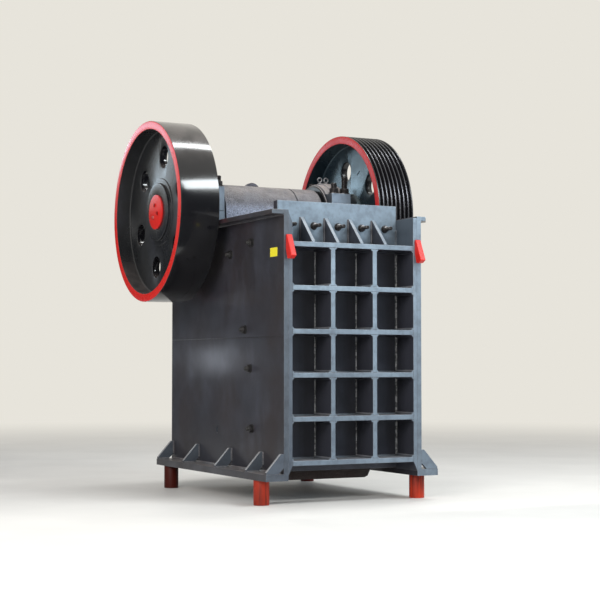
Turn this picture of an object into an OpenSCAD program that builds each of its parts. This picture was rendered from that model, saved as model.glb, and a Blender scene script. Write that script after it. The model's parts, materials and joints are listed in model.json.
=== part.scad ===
// Jaw crusher with a welded box frame on four short posts.
// The ribbed front wall faces -Y, the flywheel stands on the -X side and the
// grooved sheave on the +X side. Lengths in y are counted from the front
// plane of the ribs, and place() moves that plane so the origin sits under
// the middle of the machine, on the floor.

/* [Frame] */
// Width over the two side plates
frame_w = 1298; // [1280:1:1330]
// Thickness of a side plate
side_t = 42; // [36:1:48]
// Length of the side plates from the front plane to the rear edge
side_len = 2335; // [2320:1:2400]
// Height of the top edge of the side plates above the floor
side_top = 2387; // [2370:1:2400]
// Height of the underside of the frame, which is the length of the posts
frame_bottom = 204; // [190:1:260]

/* [Front wall] */
// Depth of the ribs in front of the wall plate
rib_depth = 279; // [240:1:300]
// Thickness of the wall plate
wall_t = 70; // [60:1:80]
// Height of the top edge of the wall plate
wall_top = 2495; // [2450:1:2510]
// Height of the lower edge of the wall plate
wall_bottom = 259; // [240:1:290]
// Height of the top face of the uppermost horizontal rib
rib_top = 2135; // [2120:1:2150]
// Distance from one horizontal rib to the next
rib_pitch = 354.3; // [340:0.1:360]
// Thickness of a horizontal rib
rib_t = 42; // [30:1:50]
// Thickness of a vertical rib
mid_rib_t = 41; // [30:1:50]
// Thickness of the upright bar inside each side plate
upright_t = 36; // [30:1:40]
// Thickness of the slanted gussets above the top rib
slant_t = 30; // [20:1:36]

/* [Base] */
// Reach of the base flange beyond the side plate
foot_w = 160; // [140:1:180]
// Thickness of the base flange
foot_t = 56; // [45:1:70]
// Length of the base flange
foot_len = 2313; // [2313:1:2320]
// Height of the gussets above the base flange
gusset_h = 162; // [140:1:190]
// Thickness of the gussets
gusset_t = 30; // [20:1:36]
// Radius of a foundation bolt hole
anchor_r = 24; // [18:1:28]
// Radius of a round post
post_r = 65; // [55:1:75]

/* [Drive] */
// Distance of the shaft behind the front plane
shaft_y = 1741; // [1735:1:1745]
// Height of the shaft above the floor
shaft_z = 2503; // [2500:1:2510]
// Offset of the crank part of the shaft
throw = 15; // [10:1:16]
// Radius of the shaft in the frame bearings
journal_r = 140; // [130:1:145]
// Radius of the crank part that carries the swing jaw
crank_r = 165; // [160:1:170]
// Radius of the flywheel and of the sheave
wheel_r = 808; // [780:1:815]
// Width of the two wheels
wheel_w = 360; // [350:1:365]
// Distance from the middle of the machine to the inner face of a wheel
wheel_x = 794; // [790:1:810]
// Thickness of the wheel rims
rim_t = 72; // [60:1:80]
// Number of belt grooves in the sheave
grooves = 8; // [6:1:8]

/* [Jaws] */
// Radius of the round head of the swing jaw
head_r = 296; // [290:1:298]
// Half the length of the round head
head_x = 496; // [488:1:498]
// Half the width of the swing jaw
jaw_x = 520; // [500:1:525]
// Thickness of the toothed jaw plates over the teeth
liner_t = 95; // [80:1:100]
// Number of teeth across a jaw plate
teeth = 14; // [10:1:18]

/* [Hidden] */
$fn = 72;
HOOK_REACH = 100;
MID_Y = (shaft_y + wheel_r - HOOK_REACH) / 2;
SIDE_X = frame_w / 2;
SIDE_IN = SIDE_X - side_t;
WALL_X = SIDE_IN - upright_t;
RIBS = 6;
RIB_X = WALL_X / 3 + mid_rib_t / 6;
WALL_BACK = rib_depth + wall_t;
FOOT_X = SIDE_X + foot_w;
FOOT_TOP = frame_bottom + foot_t;
FLANGE_W = 109;
FLANGE_T = 37;
GUSSET_Y = [0, 376, 991, 1685, foot_len - gusset_t];
ANCHOR_X = SIDE_X + foot_w / 2 + 10;
ANCHOR_Y = [700, 2007];
POST_X = ANCHOR_X;
POST_Y_FRONT = 226;
POST_Y_REAR = [2125, 2240];
WEB_FACE = [150, 224];
HUB_EDGE = 305;
HUB_END = 256;
HOUSING_X = 545;
HOUSING_W = 202;
HOUSING_Y = 364;
SHOULDER_Z = 222;
HOUSING_R = 335;
SEAT_R = 300;
CHEEK_T = 60;
JAW_BACK = liner_t + 110;
FIT = 0.05;
CRANK_Z = shaft_z - throw;
REAR_RIB_Z = 480;
REAR_PITCH = 431;

// Swing jaw face: from the discharge lip up to the feed mouth
FACE_LOW = [560, 290];
FACE_HIGH = [1190, 2290];
FACE_LEAN = atan2(FACE_HIGH[0] - FACE_LOW[0], FACE_HIGH[1] - FACE_LOW[1]);
FACE_LEN = norm(FACE_HIGH - FACE_LOW);

SIDES = ["left", "right"];

PAINT = [0.22, 0.23, 0.25];
PAINT_LIGHT = [0.55, 0.61, 0.66];
RED = [0.80, 0.13, 0.11];
POST_RED = [0.62, 0.15, 0.13];
BLACK = [0.06, 0.06, 0.07];
CAST = [0.50, 0.47, 0.46];
STEEL = [0.55, 0.55, 0.56];

function face_point(along, behind) = FACE_LOW
    + along * [sin(FACE_LEAN), cos(FACE_LEAN)]
    + behind * [cos(FACE_LEAN), -sin(FACE_LEAN)];

// Moves the front plane so the machine is centred over the origin
module place() {
    translate([0, -MID_Y, 0]) children();
}

// Puts a piece drawn for the +X side on the side that is asked for
module on_side(side) {
    if (side == "left") mirror([1, 0, 0]) children();
    else children();
}

// Box from its low corner to its high corner
module block(low, high) {
    translate(low) cube(high - low);
}

// Plate with its outline drawn in y and z
module plate_yz(x, thick, outline) {
    translate([x, 0, 0]) rotate([90, 0, 90]) linear_extrude(thick) polygon(outline);
}

// Plate with its outline drawn in x and z
module plate_xz(y, thick, outline) {
    translate([0, y + thick, 0]) rotate([90, 0, 0]) linear_extrude(thick) polygon(outline);
}

// Round bar along x
module rod_x(x_low, x_high, r, y, z) {
    translate([x_low, y, z]) rotate([0, 90, 0]) cylinder(h = x_high - x_low, r = r);
}

// Round bar along y
module rod_y(y_low, y_high, r, x, z) {
    translate([x, y_high, z]) rotate([90, 0, 0]) cylinder(h = y_high - y_low, r = r);
}

// Hexagon nut on a stud, standing up from z = 0
module nut_and_stud(nut_r, nut_h, stud_r, stud_h) {
    cylinder(h = nut_h, r = nut_r, $fn = 6);
    cylinder(h = stud_h, r = stud_r, $fn = 24);
}

module side_plate(side) {
    color(PAINT)
    place() on_side(side) difference() {
        block([SIDE_IN, 0, frame_bottom], [SIDE_X, side_len, side_top]);
        rod_x(SIDE_IN - 1, SIDE_X + 1, SEAT_R + 0.3, shaft_y, shaft_z);
    }
}

// Flanges along the top edges of the side plates, before and behind the bearings
module top_flanges() {
    front_end = shaft_y - HOUSING_Y;
    edge_x = SIDE_X + FLANGE_W;
    color(PAINT)
    place() for (side = SIDES) on_side(side) {
        cut = side == "right" ? 64 : 0;
        translate([0, 0, side_top - FLANGE_T]) linear_extrude(FLANGE_T)
            polygon([
                [SIDE_X, 0], [edge_x - cut, 0], [edge_x, cut * 1.5], [edge_x, front_end], [SIDE_X, front_end]
            ]);
        block([SIDE_X, shaft_y + HOUSING_Y, side_top - FLANGE_T], [edge_x, side_len, side_top]);
    }
}

module base_flanges() {
    color(PAINT)
    place()
        for (side = SIDES)
            on_side(side) difference() {
                block([SIDE_X, 0, frame_bottom], [FOOT_X, foot_len, FOOT_TOP]);
                for (y = ANCHOR_Y)
                    translate([ANCHOR_X, y, frame_bottom - 1]) cylinder(h = foot_t + 2, r = anchor_r);
            }
}

module base_gussets() {
    snipe = 48;
    color(PAINT)
    place()
        for (side = SIDES, y = GUSSET_Y)
            on_side(side) plate_xz(y, gusset_t, [
                [SIDE_X + snipe, FOOT_TOP], [FOOT_X - 4, FOOT_TOP], [FOOT_X - 4, FOOT_TOP + 16],
                [SIDE_X + 26, FOOT_TOP + gusset_h], [SIDE_X, FOOT_TOP + gusset_h], [SIDE_X, FOOT_TOP + snipe]
            ]);
}

module front_wall() {
    color(PAINT)
    place() block([-WALL_X, rib_depth, wall_bottom], [WALL_X, WALL_BACK, wall_top]);
}

module horizontal_ribs() {
    color(PAINT_LIGHT)
    place()
        for (i = [0 : RIBS - 1])
            translate([0, 0, rib_top - i * rib_pitch])
                block([-WALL_X, 0, -rib_t], [WALL_X, rib_depth, 0]);
}

module vertical_ribs() {
    color(PAINT_LIGHT)
    place()
        for (i = [1 : RIBS - 1], x = [-RIB_X, RIB_X])
            translate([x, 0, rib_top - i * rib_pitch])
                block([-mid_rib_t / 2, 0, 0], [mid_rib_t / 2, rib_depth, rib_pitch - rib_t]);
}

module front_uprights() {
    low = frame_bottom + 40;
    color(PAINT_LIGHT)
    place()
        for (side = SIDES)
            on_side(side) plate_xz(0, WALL_BACK, [
                [WALL_X, 324], [SIDE_IN, low], [SIDE_IN, side_top - 13],
                [WALL_X, side_top - (side == "left" ? 100 : 13)]
            ]);
}

module slanted_gussets() {
    spacing = 2 * WALL_X / 5;
    color(PAINT_LIGHT)
    place()
        for (k = [-1.5 : 1 : 1.5])
            plate_yz(k * spacing - slant_t / 2, slant_t, [
                [rib_depth, rib_top], [66, rib_top], [66, rib_top + 12],
                [rib_depth - 6, rib_top + 230], [rib_depth, rib_top + 230]
            ]);
}

module wall_bolts() {
    spacing = 2 * WALL_X / 5;
    color(STEEL)
    place()
        for (k = [-2 : 2])
            translate([k * spacing, rib_depth, rib_top + 158]) rotate([90, 0, 0])
                nut_and_stud(29, 26, 16, 112);
}

module lifting_hooks() {
    color(RED)
    place()
        for (side = SIDES)
            on_side(side) plate_yz(SIDE_X - 65, 50, [
                [0, 2070], [-26, 1988], [-62, 1990], [-HOOK_REACH, 2012], [-18, 2187], [0, 2187]
            ]);
}

module yellow_plate() {
    color("gold")
    place() block([-SIDE_X - 3, 117, 2017], [-SIDE_X, 246, 2091]);
}

// Ends of the bolts that hold the cheek plates, seen on the side plates
module side_bolts() {
    spots = [[596, 2160], [1017, 2086], [730, 1432], [630, 1103], [589, 603]];
    color(STEEL)
    place()
        for (side = SIDES, spot = spots)
            on_side(side) translate([SIDE_X, spot[0], spot[1]]) rotate([0, 90, 0])
                nut_and_stud(34, 30, 18, 56);
}

// Pair of posts, with the y of the left one and of the right one
module posts(y) {
    color(POST_RED)
    place()
        for (i = [0, 1])
            translate([(2 * i - 1) * POST_X, y[i], 0]) cylinder(h = frame_bottom, r = post_r);
}

module rear_wall() {
    rod_z = 330;
    color(PAINT)
    place() difference() {
        block([-SIDE_IN, 2215, 255], [SIDE_IN, 2255, 2240]);
        for (x = [-300, 300])
            rod_y(2200, 2270, 40, x, rod_z);
    }
}

module rear_ribs() {
    color(PAINT)
    place()
        for (i = [0 : 4])
            translate([0, 2255, REAR_RIB_Z + i * REAR_PITCH])
                block([-SIDE_IN, 0, 0], [SIDE_IN, side_len - 2255, 36]);
}

module rear_uprights() {
    color(PAINT)
    place()
        for (i = [0 : 3], x = [-210, 210])
            translate([x, 2255, REAR_RIB_Z + i * REAR_PITCH + 36])
                block([-18, 0, 0], [18, side_len - 2255, REAR_PITCH - 36]);
}

module toggle_block() {
    color(PAINT)
    place() difference() {
        block([-SIDE_IN, 1960, 470], [SIDE_IN, 2150, 760]);
        rod_x(-SIDE_IN + 60, SIDE_IN - 60, 32, 1955, 610);
    }
}

module toggle_shims() {
    color(STEEL)
    place()
        for (i = [0 : 3])
            block([-480, 2150 + i * 16.25, 500], [480, 2150 + (i + 1) * 16.25, 740 - i * 12]);
}

// Plate that props the lower end of the swing jaw, drawn with play at the jaw
module toggle_plate() {
    front = [1052, 560];
    back = [1955, 610];
    lean = atan2(back[1] - front[1], back[0] - front[0]);
    run = norm(back - front);
    color(STEEL)
    place() translate([0, front[0], front[1]]) rotate([lean, 0, 0]) {
        block([-500, 0, -28], [500, run, 28]);
        rod_x(-500, 500, 30, 0, 0);
        rod_x(-500, 500, 30, run, 0);
    }
}

module tension_rods() {
    rod_z = 330;
    eye_y = 930;
    color(STEEL)
    place()
        for (x = [-300, 300]) difference() {
            union() {
                rod_y(eye_y + 70, 2500, 22, x, rod_z);
                rod_x(x - 28, x + 28, 85, eye_y, rod_z + throw);
                rod_y(2452, 2468, 70, x, rod_z);
                translate([x, 2467, rod_z]) rotate([-90, 0, 0]) cylinder(h = 28, r = 44, $fn = 6);
            }
            rod_x(x - 29, x + 29, 55, eye_y, rod_z + throw);
        }
}

// Springs drawn as closed sleeves around the rods
module springs() {
    color(BLACK)
    place()
        for (x = [-300, 300]) difference() {
            rod_y(2255, 2452, 66, x, 330);
            rod_y(2254, 2453, 38, x, 330);
        }
}

module cheek_plates() {
    seam = 1270;
    color(STEEL)
    place() for (side = SIDES) on_side(side) {
        plate_yz(SIDE_IN - CHEEK_T, CHEEK_T, [
            [WALL_BACK, seam + 4], [1000, seam + 4], [1290, 2240], [1290, 2410], [WALL_BACK, 2410]
        ]);
        plate_yz(SIDE_IN - CHEEK_T, CHEEK_T, [
            [WALL_BACK, 420], [760, 420], [990, seam], [WALL_BACK, seam]
        ]);
    }
}

// Outline of a toothed jaw plate across the machine, teeth towards +y
function tooth_outline(half, tooth_d) = let (pitch = 2 * half / teeth) concat(
    [[-half, 0]],
    [for (i = [0 : teeth - 1], p = [[0, 0], [0.3, 1], [0.7, 1], [1, 0]])
        [-half + (i + p[0]) * pitch, liner_t - tooth_d + p[1] * tooth_d]],
    [[half, 0]]
);

module fixed_jaw_plate() {
    color(STEEL)
    place() translate([0, WALL_BACK, 300]) linear_extrude(1960) polygon(tooth_outline(jaw_x, 38));
}

module fixed_jaw_clamp() {
    color(PAINT)
    place() {
        plate_yz(-jaw_x, 2 * jaw_x, [
            [WALL_BACK, 2266], [WALL_BACK + 52, 2266], [WALL_BACK + 52, 2300], [WALL_BACK, 2350]
        ]);
    }
}

// Lower half of a bearing housing, let into the top edge of the side plate
module bearing_saddle(side) {
    color(PAINT)
    place() on_side(side) difference() {
        union() {
            block(
                [HOUSING_X, shaft_y - HOUSING_Y, side_top + 38],
                [HOUSING_X + HOUSING_W, shaft_y + HOUSING_Y, shaft_z]
            );
            block(
                [SIDE_IN, shaft_y - HOUSING_Y, side_top],
                [SIDE_X + 60, shaft_y + HOUSING_Y, side_top + 38]
            );
            intersection() {
                union() {
                    rod_x(HOUSING_X + 15, HOUSING_X + HOUSING_W - 17, SEAT_R, shaft_y, shaft_z);
                    rod_x(SIDE_X, SIDE_X + 30, HOUSING_R, shaft_y, shaft_z);
                }
                block(
                    [HOUSING_X, shaft_y - HOUSING_Y, shaft_z - HOUSING_R - 1],
                    [HOUSING_X + HOUSING_W, shaft_y + HOUSING_Y, side_top + 38]
                );
            }
        }
        rod_x(HOUSING_X - 1, HOUSING_X + HOUSING_W + 1, journal_r + FIT, shaft_y, shaft_z);
    }
}

// Upper half of a bearing housing, with shoulders for the cap bolts
module bearing_cap(side) {
    x_out = HOUSING_X + HOUSING_W;
    color(PAINT)
    place() on_side(side) difference() {
        union() {
            block(
                [HOUSING_X, shaft_y - HOUSING_Y, shaft_z],
                [x_out, shaft_y + HOUSING_Y, shaft_z + SHOULDER_Z]
            );
            intersection() {
                union() {
                    rod_x(HOUSING_X, x_out, HOUSING_R, shaft_y, shaft_z);
                    rod_x(HOUSING_X + 56, x_out - 56, HOUSING_R + 14, shaft_y, shaft_z);
                }
                block([HOUSING_X, shaft_y - HOUSING_Y, shaft_z], [x_out, shaft_y + HOUSING_Y, shaft_z + 400]);
            }
        }
        rod_x(HOUSING_X - 1, x_out + 1, journal_r + FIT, shaft_y, shaft_z);
    }
}

module cap_bolts() {
    mid = HOUSING_X + HOUSING_W / 2;
    color(STEEL)
    place()
        for (side = SIDES, dy = [-318, 318], out = [0, 1])
            on_side(side)
                translate([mid + (out - 0.5) * 111, shaft_y + dy, shaft_z + SHOULDER_Z])
                    nut_and_stud(46, 48, 28, 98 + out * 62);
}

// Seal rings between the bearing housings and the head of the swing jaw
module seal_rings() {
    color(PAINT)
    place()
        for (side = SIDES)
            on_side(side) difference() {
                union() {
                    rod_x(522, HOUSING_X, 322, shaft_y, shaft_z);
                    rod_x(head_x + 6, 523, 215, shaft_y, shaft_z);
                    rod_x(HOUSING_X + HOUSING_W, HOUSING_X + HOUSING_W + 24, 232, shaft_y, shaft_z);
                }
                rod_x(head_x, 800, journal_r + 10, shaft_y, shaft_z);
            }
}

module eccentric_shaft() {
    end_x = wheel_x + HUB_END;
    color(STEEL)
    place() {
        rod_x(-end_x, end_x, journal_r - 10, shaft_y, shaft_z);
        for (side = SIDES)
            on_side(side) rod_x(head_x, HOUSING_X + HOUSING_W + 15, journal_r, shaft_y, shaft_z);
        rod_x(-head_x, head_x, crank_r, shaft_y, CRANK_Z);
    }
}

// Turns a half section into a ring on the shaft, drawn for the +X side:
// distance from the axis, distance from the inner face of the wheel
module turned(section) {
    translate([wheel_x, shaft_y, shaft_z]) rotate([0, 90, 0])
        rotate_extrude($fn = 180) polygon(section);
}

// Rim of a wheel
module wheel_rim(outside) {
    inner = wheel_r - rim_t;
    turned(concat([[inner, 0]], outside, [[inner, wheel_w]]));
}

// Hub of a wheel
module wheel_hub(side) {
    bore = journal_r - 10 + FIT;
    hub = 240;
    boss = 260;
    color(BLACK)
    place() on_side(side) turned([
        [bore, 14], [hub, 14], [hub, WEB_FACE[0] - 24], [hub + 24, WEB_FACE[0]],
        [HUB_EDGE, WEB_FACE[0]], [HUB_EDGE, WEB_FACE[1] + 8], [boss, WEB_FACE[1] + 8],
        [boss, HUB_END], [bore, HUB_END]
    ]);
}

// Web of a wheel between its hub and its rim, with six round holes
module wheel_web(side) {
    holes = 6;
    first = side == "left" ? 10 : -10;
    rim = wheel_r - rim_t;
    fillet = 20;
    color(BLACK)
    place() on_side(side) difference() {
        turned([
            [HUB_EDGE, WEB_FACE[0]], [rim - fillet, WEB_FACE[0]], [rim, WEB_FACE[0] - fillet],
            [rim, WEB_FACE[1] + fillet], [rim - fillet, WEB_FACE[1]], [HUB_EDGE, WEB_FACE[1]]
        ]);
        for (i = [0 : holes - 1])
            translate([wheel_x + 100, shaft_y, shaft_z]) rotate([first + i * 360 / holes, 0, 0])
                translate([0, 0, 497]) rotate([0, 90, 0]) cylinder(h = 200, r = 97);
    }
}

module flywheel_rim() {
    color(BLACK)
    place() on_side("left")
        wheel_rim([[wheel_r - 6, 0], [wheel_r, 6], [wheel_r, wheel_w - 6], [wheel_r - 6, wheel_w]]);
}

module sheave_rim() {
    pitch = 43.5;
    edge = (wheel_w - grooves * pitch) / 2;
    color(BLACK)
    place() on_side("right")
        wheel_rim(concat(
            [[wheel_r, 0]],
            [for (i = [0 : grooves - 1], p = [[0.11, 0], [0.31, 34], [0.69, 34], [0.89, 0]])
                [wheel_r - p[1], edge + (i + p[0]) * pitch]],
            [[wheel_r, wheel_w]]
        ));
}

// Round cover on the end of each hub, with three small bolts
module hub_caps() {
    x_in = wheel_x + HUB_END;
    color(RED)
    place() for (side = SIDES) on_side(side) {
        rod_x(x_in, x_in + 14, 155, shaft_y, shaft_z);
        for (a = [60, 180, 300])
            translate([x_in + 14, shaft_y, shaft_z]) rotate([a - 14, 0, 0]) translate([0, 0, 78])
                rotate([0, 90, 0]) cylinder(h = 10, r = 17, $fn = 6);
    }
}

// Casting that carries the swing jaw plate and turns on the crank of the shaft
module swing_jaw() {
    low = face_point(-30, liner_t + FIT);
    high = face_point(FACE_LEN + 130, liner_t + FIT);
    pin_y = 930;
    pin_z = 330;
    color(CAST)
    place() difference() {
        union() {
            rod_x(-head_x, head_x, head_r, shaft_y, CRANK_Z);
            plate_yz(-jaw_x, 2 * jaw_x, [
                low, [low[0] + 2, 155], [735, 155],
                face_point(-10, JAW_BACK), face_point(FACE_LEN + 130, JAW_BACK), high
            ]);
            block([-490, 850, 470], [490, 1000, 650]);
            for (x = [-347, -253, 253, 347])
                plate_yz(x - 10, 20, [[770, 262], [930, 272], [988, 330], [930, 388], [800, 430]]);
            for (x = [-300, 300])
                rod_x(x - 57, x + 57, 30, pin_y, pin_z);
            difference() {
                plate_xz(shaft_y + 205, 40, [[-80, 2640], [80, 2640], [80, 2768], [-80, 2768]]);
                rod_y(shaft_y + 200, shaft_y + 250, 36, 0, 2768);
            }
            translate([0, shaft_y + 245, 2768]) rotate([90, 0, 0]) difference() {
                cylinder(h = 40, r = 80);
                translate([0, 0, -1]) cylinder(h = 42, r = 36);
            }
        }
        rod_x(-head_x - 1, head_x + 1, crank_r + FIT, shaft_y, CRANK_Z);
        for (side = SIDES)
            on_side(side) plate_xz(low[0] - 20, 800 - low[0], [
                [jaw_x + 1, 218], [jaw_x - 24, 168], [jaw_x - 56, 154], [jaw_x + 1, 154]
            ]);
    }
}

// Ribs on the back of the swing jaw, from its cross beam up to its head
module jaw_ribs() {
    back = JAW_BACK + FIT;
    beam_top = 650 + FIT;
    start = (beam_top - face_point(0, back)[1]) / cos(FACE_LEAN);
    color(CAST)
    place() difference() {
        for (x = [-468, -234, 0, 234, 468])
            plate_yz(x - 22, 44, [
                face_point(start, back), [1000, beam_top], [1130, 720], [1320, 1250], [1640, 2000],
                [1971, 2310], [1741, CRANK_Z], face_point(FACE_LEN + 100, back)
            ]);
        rod_x(-head_x - 30, head_x + 30, head_r + FIT, shaft_y, CRANK_Z);
    }
}

module swing_jaw_plate() {
    color(STEEL)
    place() translate([0, FACE_LOW[0], FACE_LOW[1]]) rotate([-FACE_LEAN, 0, 0])
        translate([0, liner_t, 0]) mirror([0, 1, 0])
            linear_extrude(FACE_LEN) polygon(tooth_outline(jaw_x, 38));
}

module swing_jaw_clamp() {
    color(PAINT)
    place()
        plate_yz(-jaw_x + 20, 2 * jaw_x - 40, [
            face_point(FACE_LEN + 6, liner_t), face_point(FACE_LEN + 6, 40),
            face_point(FACE_LEN + 46, 40), face_point(FACE_LEN + 100, liner_t)
        ]);
}

side_plate("left");  // side_plate_left
side_plate("right");  // side_plate_right
top_flanges();
base_flanges();
base_gussets();
front_wall();
horizontal_ribs();
vertical_ribs();
front_uprights();
slanted_gussets();
wall_bolts();
lifting_hooks();
yellow_plate();
side_bolts();
posts([POST_Y_FRONT, POST_Y_FRONT]);  // front_posts
posts(POST_Y_REAR);  // rear_posts
rear_wall();
rear_ribs();
rear_uprights();
toggle_block();
toggle_shims();
toggle_plate();
tension_rods();
springs();
cheek_plates();
fixed_jaw_plate();
fixed_jaw_clamp();
bearing_saddle("left");  // bearing_saddle_left
bearing_saddle("right");  // bearing_saddle_right
bearing_cap("left");  // bearing_cap_left
bearing_cap("right");  // bearing_cap_right
cap_bolts();
seal_rings();
eccentric_shaft();
flywheel_rim();
wheel_web("left");  // flywheel_web
wheel_hub("left");  // flywheel_hub
sheave_rim();
wheel_web("right");  // sheave_web
wheel_hub("right");  // sheave_hub
hub_caps();
swing_jaw();
jaw_ribs();
swing_jaw_plate();
swing_jaw_clamp();
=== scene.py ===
"""Jaw crusher on four short posts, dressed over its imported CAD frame.

Lengths in comments and outlines are millimetres. Points are given as x across the machine, y behind the
front plane of the ribs and z above the floor, and at() turns them into the metres of the frame.
"""

import json
import math

import bpy
from mathutils import Matrix, Vector

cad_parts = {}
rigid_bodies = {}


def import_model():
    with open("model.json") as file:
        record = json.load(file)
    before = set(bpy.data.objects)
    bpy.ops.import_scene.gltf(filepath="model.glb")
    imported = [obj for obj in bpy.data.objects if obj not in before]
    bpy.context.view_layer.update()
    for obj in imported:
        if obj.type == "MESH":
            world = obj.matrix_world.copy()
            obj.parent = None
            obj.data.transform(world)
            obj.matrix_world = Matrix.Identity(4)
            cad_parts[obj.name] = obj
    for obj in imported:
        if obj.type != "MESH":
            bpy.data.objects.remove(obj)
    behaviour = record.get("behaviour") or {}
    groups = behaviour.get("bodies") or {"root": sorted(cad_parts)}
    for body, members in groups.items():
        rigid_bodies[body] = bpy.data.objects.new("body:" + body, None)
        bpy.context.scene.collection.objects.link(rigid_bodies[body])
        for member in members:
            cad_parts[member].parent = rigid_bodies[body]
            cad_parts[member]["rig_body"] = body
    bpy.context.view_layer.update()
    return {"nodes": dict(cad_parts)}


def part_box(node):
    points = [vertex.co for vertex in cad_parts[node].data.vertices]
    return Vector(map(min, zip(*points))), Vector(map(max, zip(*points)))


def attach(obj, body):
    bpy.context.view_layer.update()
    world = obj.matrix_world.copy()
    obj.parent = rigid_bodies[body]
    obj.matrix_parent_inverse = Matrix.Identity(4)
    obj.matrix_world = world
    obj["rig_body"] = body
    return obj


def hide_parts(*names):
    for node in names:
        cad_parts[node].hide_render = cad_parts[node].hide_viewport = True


bl_info = {
    "name": "Jaw crusher",
    "version": (1, 0, 0),
    "blender": (4, 5, 0),
    "location": "3D View > Sidebar > Crusher",
    "description": "Builds the visible pieces, paints and studio of a jaw crusher",
    "category": "Object",
}

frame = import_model()
NODES = frame["nodes"]

MM = 0.001
FRONT_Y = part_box("horizontal_ribs")[0].y
RIM_LOW, RIM_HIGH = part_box("sheave_rim")
SHAFT_Y = (RIM_LOW.y + RIM_HIGH.y) / 2 / MM - FRONT_Y / MM
SHAFT_Z = (RIM_LOW.z + RIM_HIGH.z) / 2 / MM
WHEEL_X = RIM_LOW.x / MM
WHEEL_W = (RIM_HIGH.x - RIM_LOW.x) / MM
WHEEL_R = (RIM_HIGH.z - RIM_LOW.z) / 2 / MM
RING_W = 74
SIDE_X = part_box("side_plate_right")[1].x / MM
SIDE_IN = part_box("side_plate_right")[0].x / MM
WALL_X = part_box("front_wall")[1].x / MM
WALL_Y = (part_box("front_wall")[0].y - FRONT_Y) / MM
RIB_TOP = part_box("horizontal_ribs")[1].z / MM
RIB_PITCH = 354.3
RIB_T = 42
MID_RIB_T = 41
RIB_X = WALL_X / 3 + MID_RIB_T / 6
CAP_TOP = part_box("bearing_cap_right")[1].z / MM
CAP_SHOULDER = SHAFT_Z + 222
BOLT_PITCH = 2 * WALL_X / 5
SIDES = (("right", 1), ("left", -1))

# Distance within which vertices are one, and angle under which faces are one flat face
DOUBLES = 0.00002
FLAT = math.radians(0.4)


def at(x, y, z):
    """Point in metres of the frame, from millimetres behind the front plane."""
    return Vector((x * MM, FRONT_Y + y * MM, z * MM))


# Selection and editing


def only(*pieces):
    """Leaves the given pieces selected and the first one active."""
    if bpy.context.mode != "OBJECT":
        bpy.ops.object.mode_set(mode="OBJECT")
    bpy.ops.object.select_all(action="DESELECT")
    for piece in pieces:
        piece.select_set(True)
    bpy.context.view_layer.objects.active = pieces[0]


def open_mesh(piece, kind="FACE", test=None):
    """Opens a piece in edit mode with the faces, edges or vertices selected that pass the test."""
    only(piece)
    mesh = piece.data
    bpy.context.tool_settings.mesh_select_mode = (kind == "VERT", kind == "EDGE", kind == "FACE")
    for group in (mesh.vertices, mesh.edges, mesh.polygons):
        group.foreach_set("select", [False] * len(group))
    if test is not None:
        group = {"VERT": mesh.vertices, "EDGE": mesh.edges, "FACE": mesh.polygons}[kind]
        for item in group:
            item.select = bool(test(item))
    bpy.ops.object.mode_set(mode="EDIT")
    if test is None:
        bpy.ops.mesh.select_all(action="SELECT")


def close_mesh():
    bpy.ops.object.mode_set(mode="OBJECT")


def point_outwards(piece):
    """Merges doubles and turns all faces outwards."""
    open_mesh(piece)
    bpy.ops.mesh.remove_doubles(threshold=DOUBLES)
    bpy.ops.mesh.normals_make_consistent(inside=False)
    close_mesh()


def finish_with(piece, kind, **settings):
    """Adds a modifier and applies it."""
    only(piece)
    modifier = piece.modifiers.new("finish", kind)
    for key, value in settings.items():
        setattr(modifier, key, value)
    bpy.ops.object.modifier_apply(modifier=modifier.name)


def round_edges(piece, radius, segments=2, angle=30):
    finish_with(
        piece, "BEVEL", width=radius * MM, segments=segments, limit_method="ANGLE",
        angle_limit=math.radians(angle), miter_outer="MITER_ARC" if segments > 2 else "MITER_SHARP",
    )


def smooth(piece, angle=32, flat_faces=False):
    """Smooth shading up to an angle; flat_faces keeps large flat faces flat beside their rounded edges."""
    only(piece)
    bpy.ops.object.shade_smooth_by_angle(angle=math.radians(angle))
    if flat_faces:
        finish_with(piece, "WEIGHTED_NORMAL", mode="FACE_AREA", weight=50, keep_sharp=True)


def turned(degrees, axis):
    """Matrix that turns about one of the axes."""
    return Matrix.Rotation(math.radians(degrees), 4, axis)


def on_circle(centre, x, radius, degrees):
    """Point at a distance along x from the centre, on a circle around the shaft, with 0 degrees on top."""
    angle = math.radians(degrees)
    return centre + Vector((x * MM, -math.sin(angle) * radius * MM, math.cos(angle) * radius * MM))


def settle(piece):
    """Puts a piece's place into its mesh."""
    only(piece)
    bpy.ops.object.transform_apply(location=True, rotation=True, scale=True)


def named(name):
    piece = bpy.context.object
    piece.name = name
    piece.data.name = name
    return piece


def joined(name, pieces):
    """Makes one piece of several."""
    only(*pieces)
    if len(pieces) > 1:
        bpy.ops.object.join()
    return named(name)


def copied(piece, name, place):
    """Copy of a piece with its own mesh, moved by a matrix that goes into the mesh."""
    mesh = piece.data.copy()
    mesh.transform(place)
    if place.determinant() < 0:
        mesh.flip_normals()
    twin = bpy.data.objects.new(name, mesh)
    bpy.context.scene.collection.objects.link(twin)
    return twin


def mirrored(piece, name):
    """The same piece on the other side of the machine."""
    return copied(piece, name, Matrix.Scale(-1, 4, (1, 0, 0)))


def drop(*pieces):
    for piece in pieces:
        bpy.data.objects.remove(piece)


def give(piece, body, paint=None, instead=()):
    """Sets a piece's paint, body and the CAD nodes that it stands for."""
    if paint is not None:
        piece.data.materials.clear()
        piece.data.materials.append(bpy.data.materials[paint])
    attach(piece, body)
    if instead:
        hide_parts(*instead)
    return piece


def repaint(piece, paint, test):
    """Gives the faces that pass the test another paint."""
    piece.data.materials.append(bpy.data.materials[paint])
    last = len(piece.data.materials) - 1
    for face in piece.data.polygons:
        if test(face):
            face.material_index = last


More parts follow.
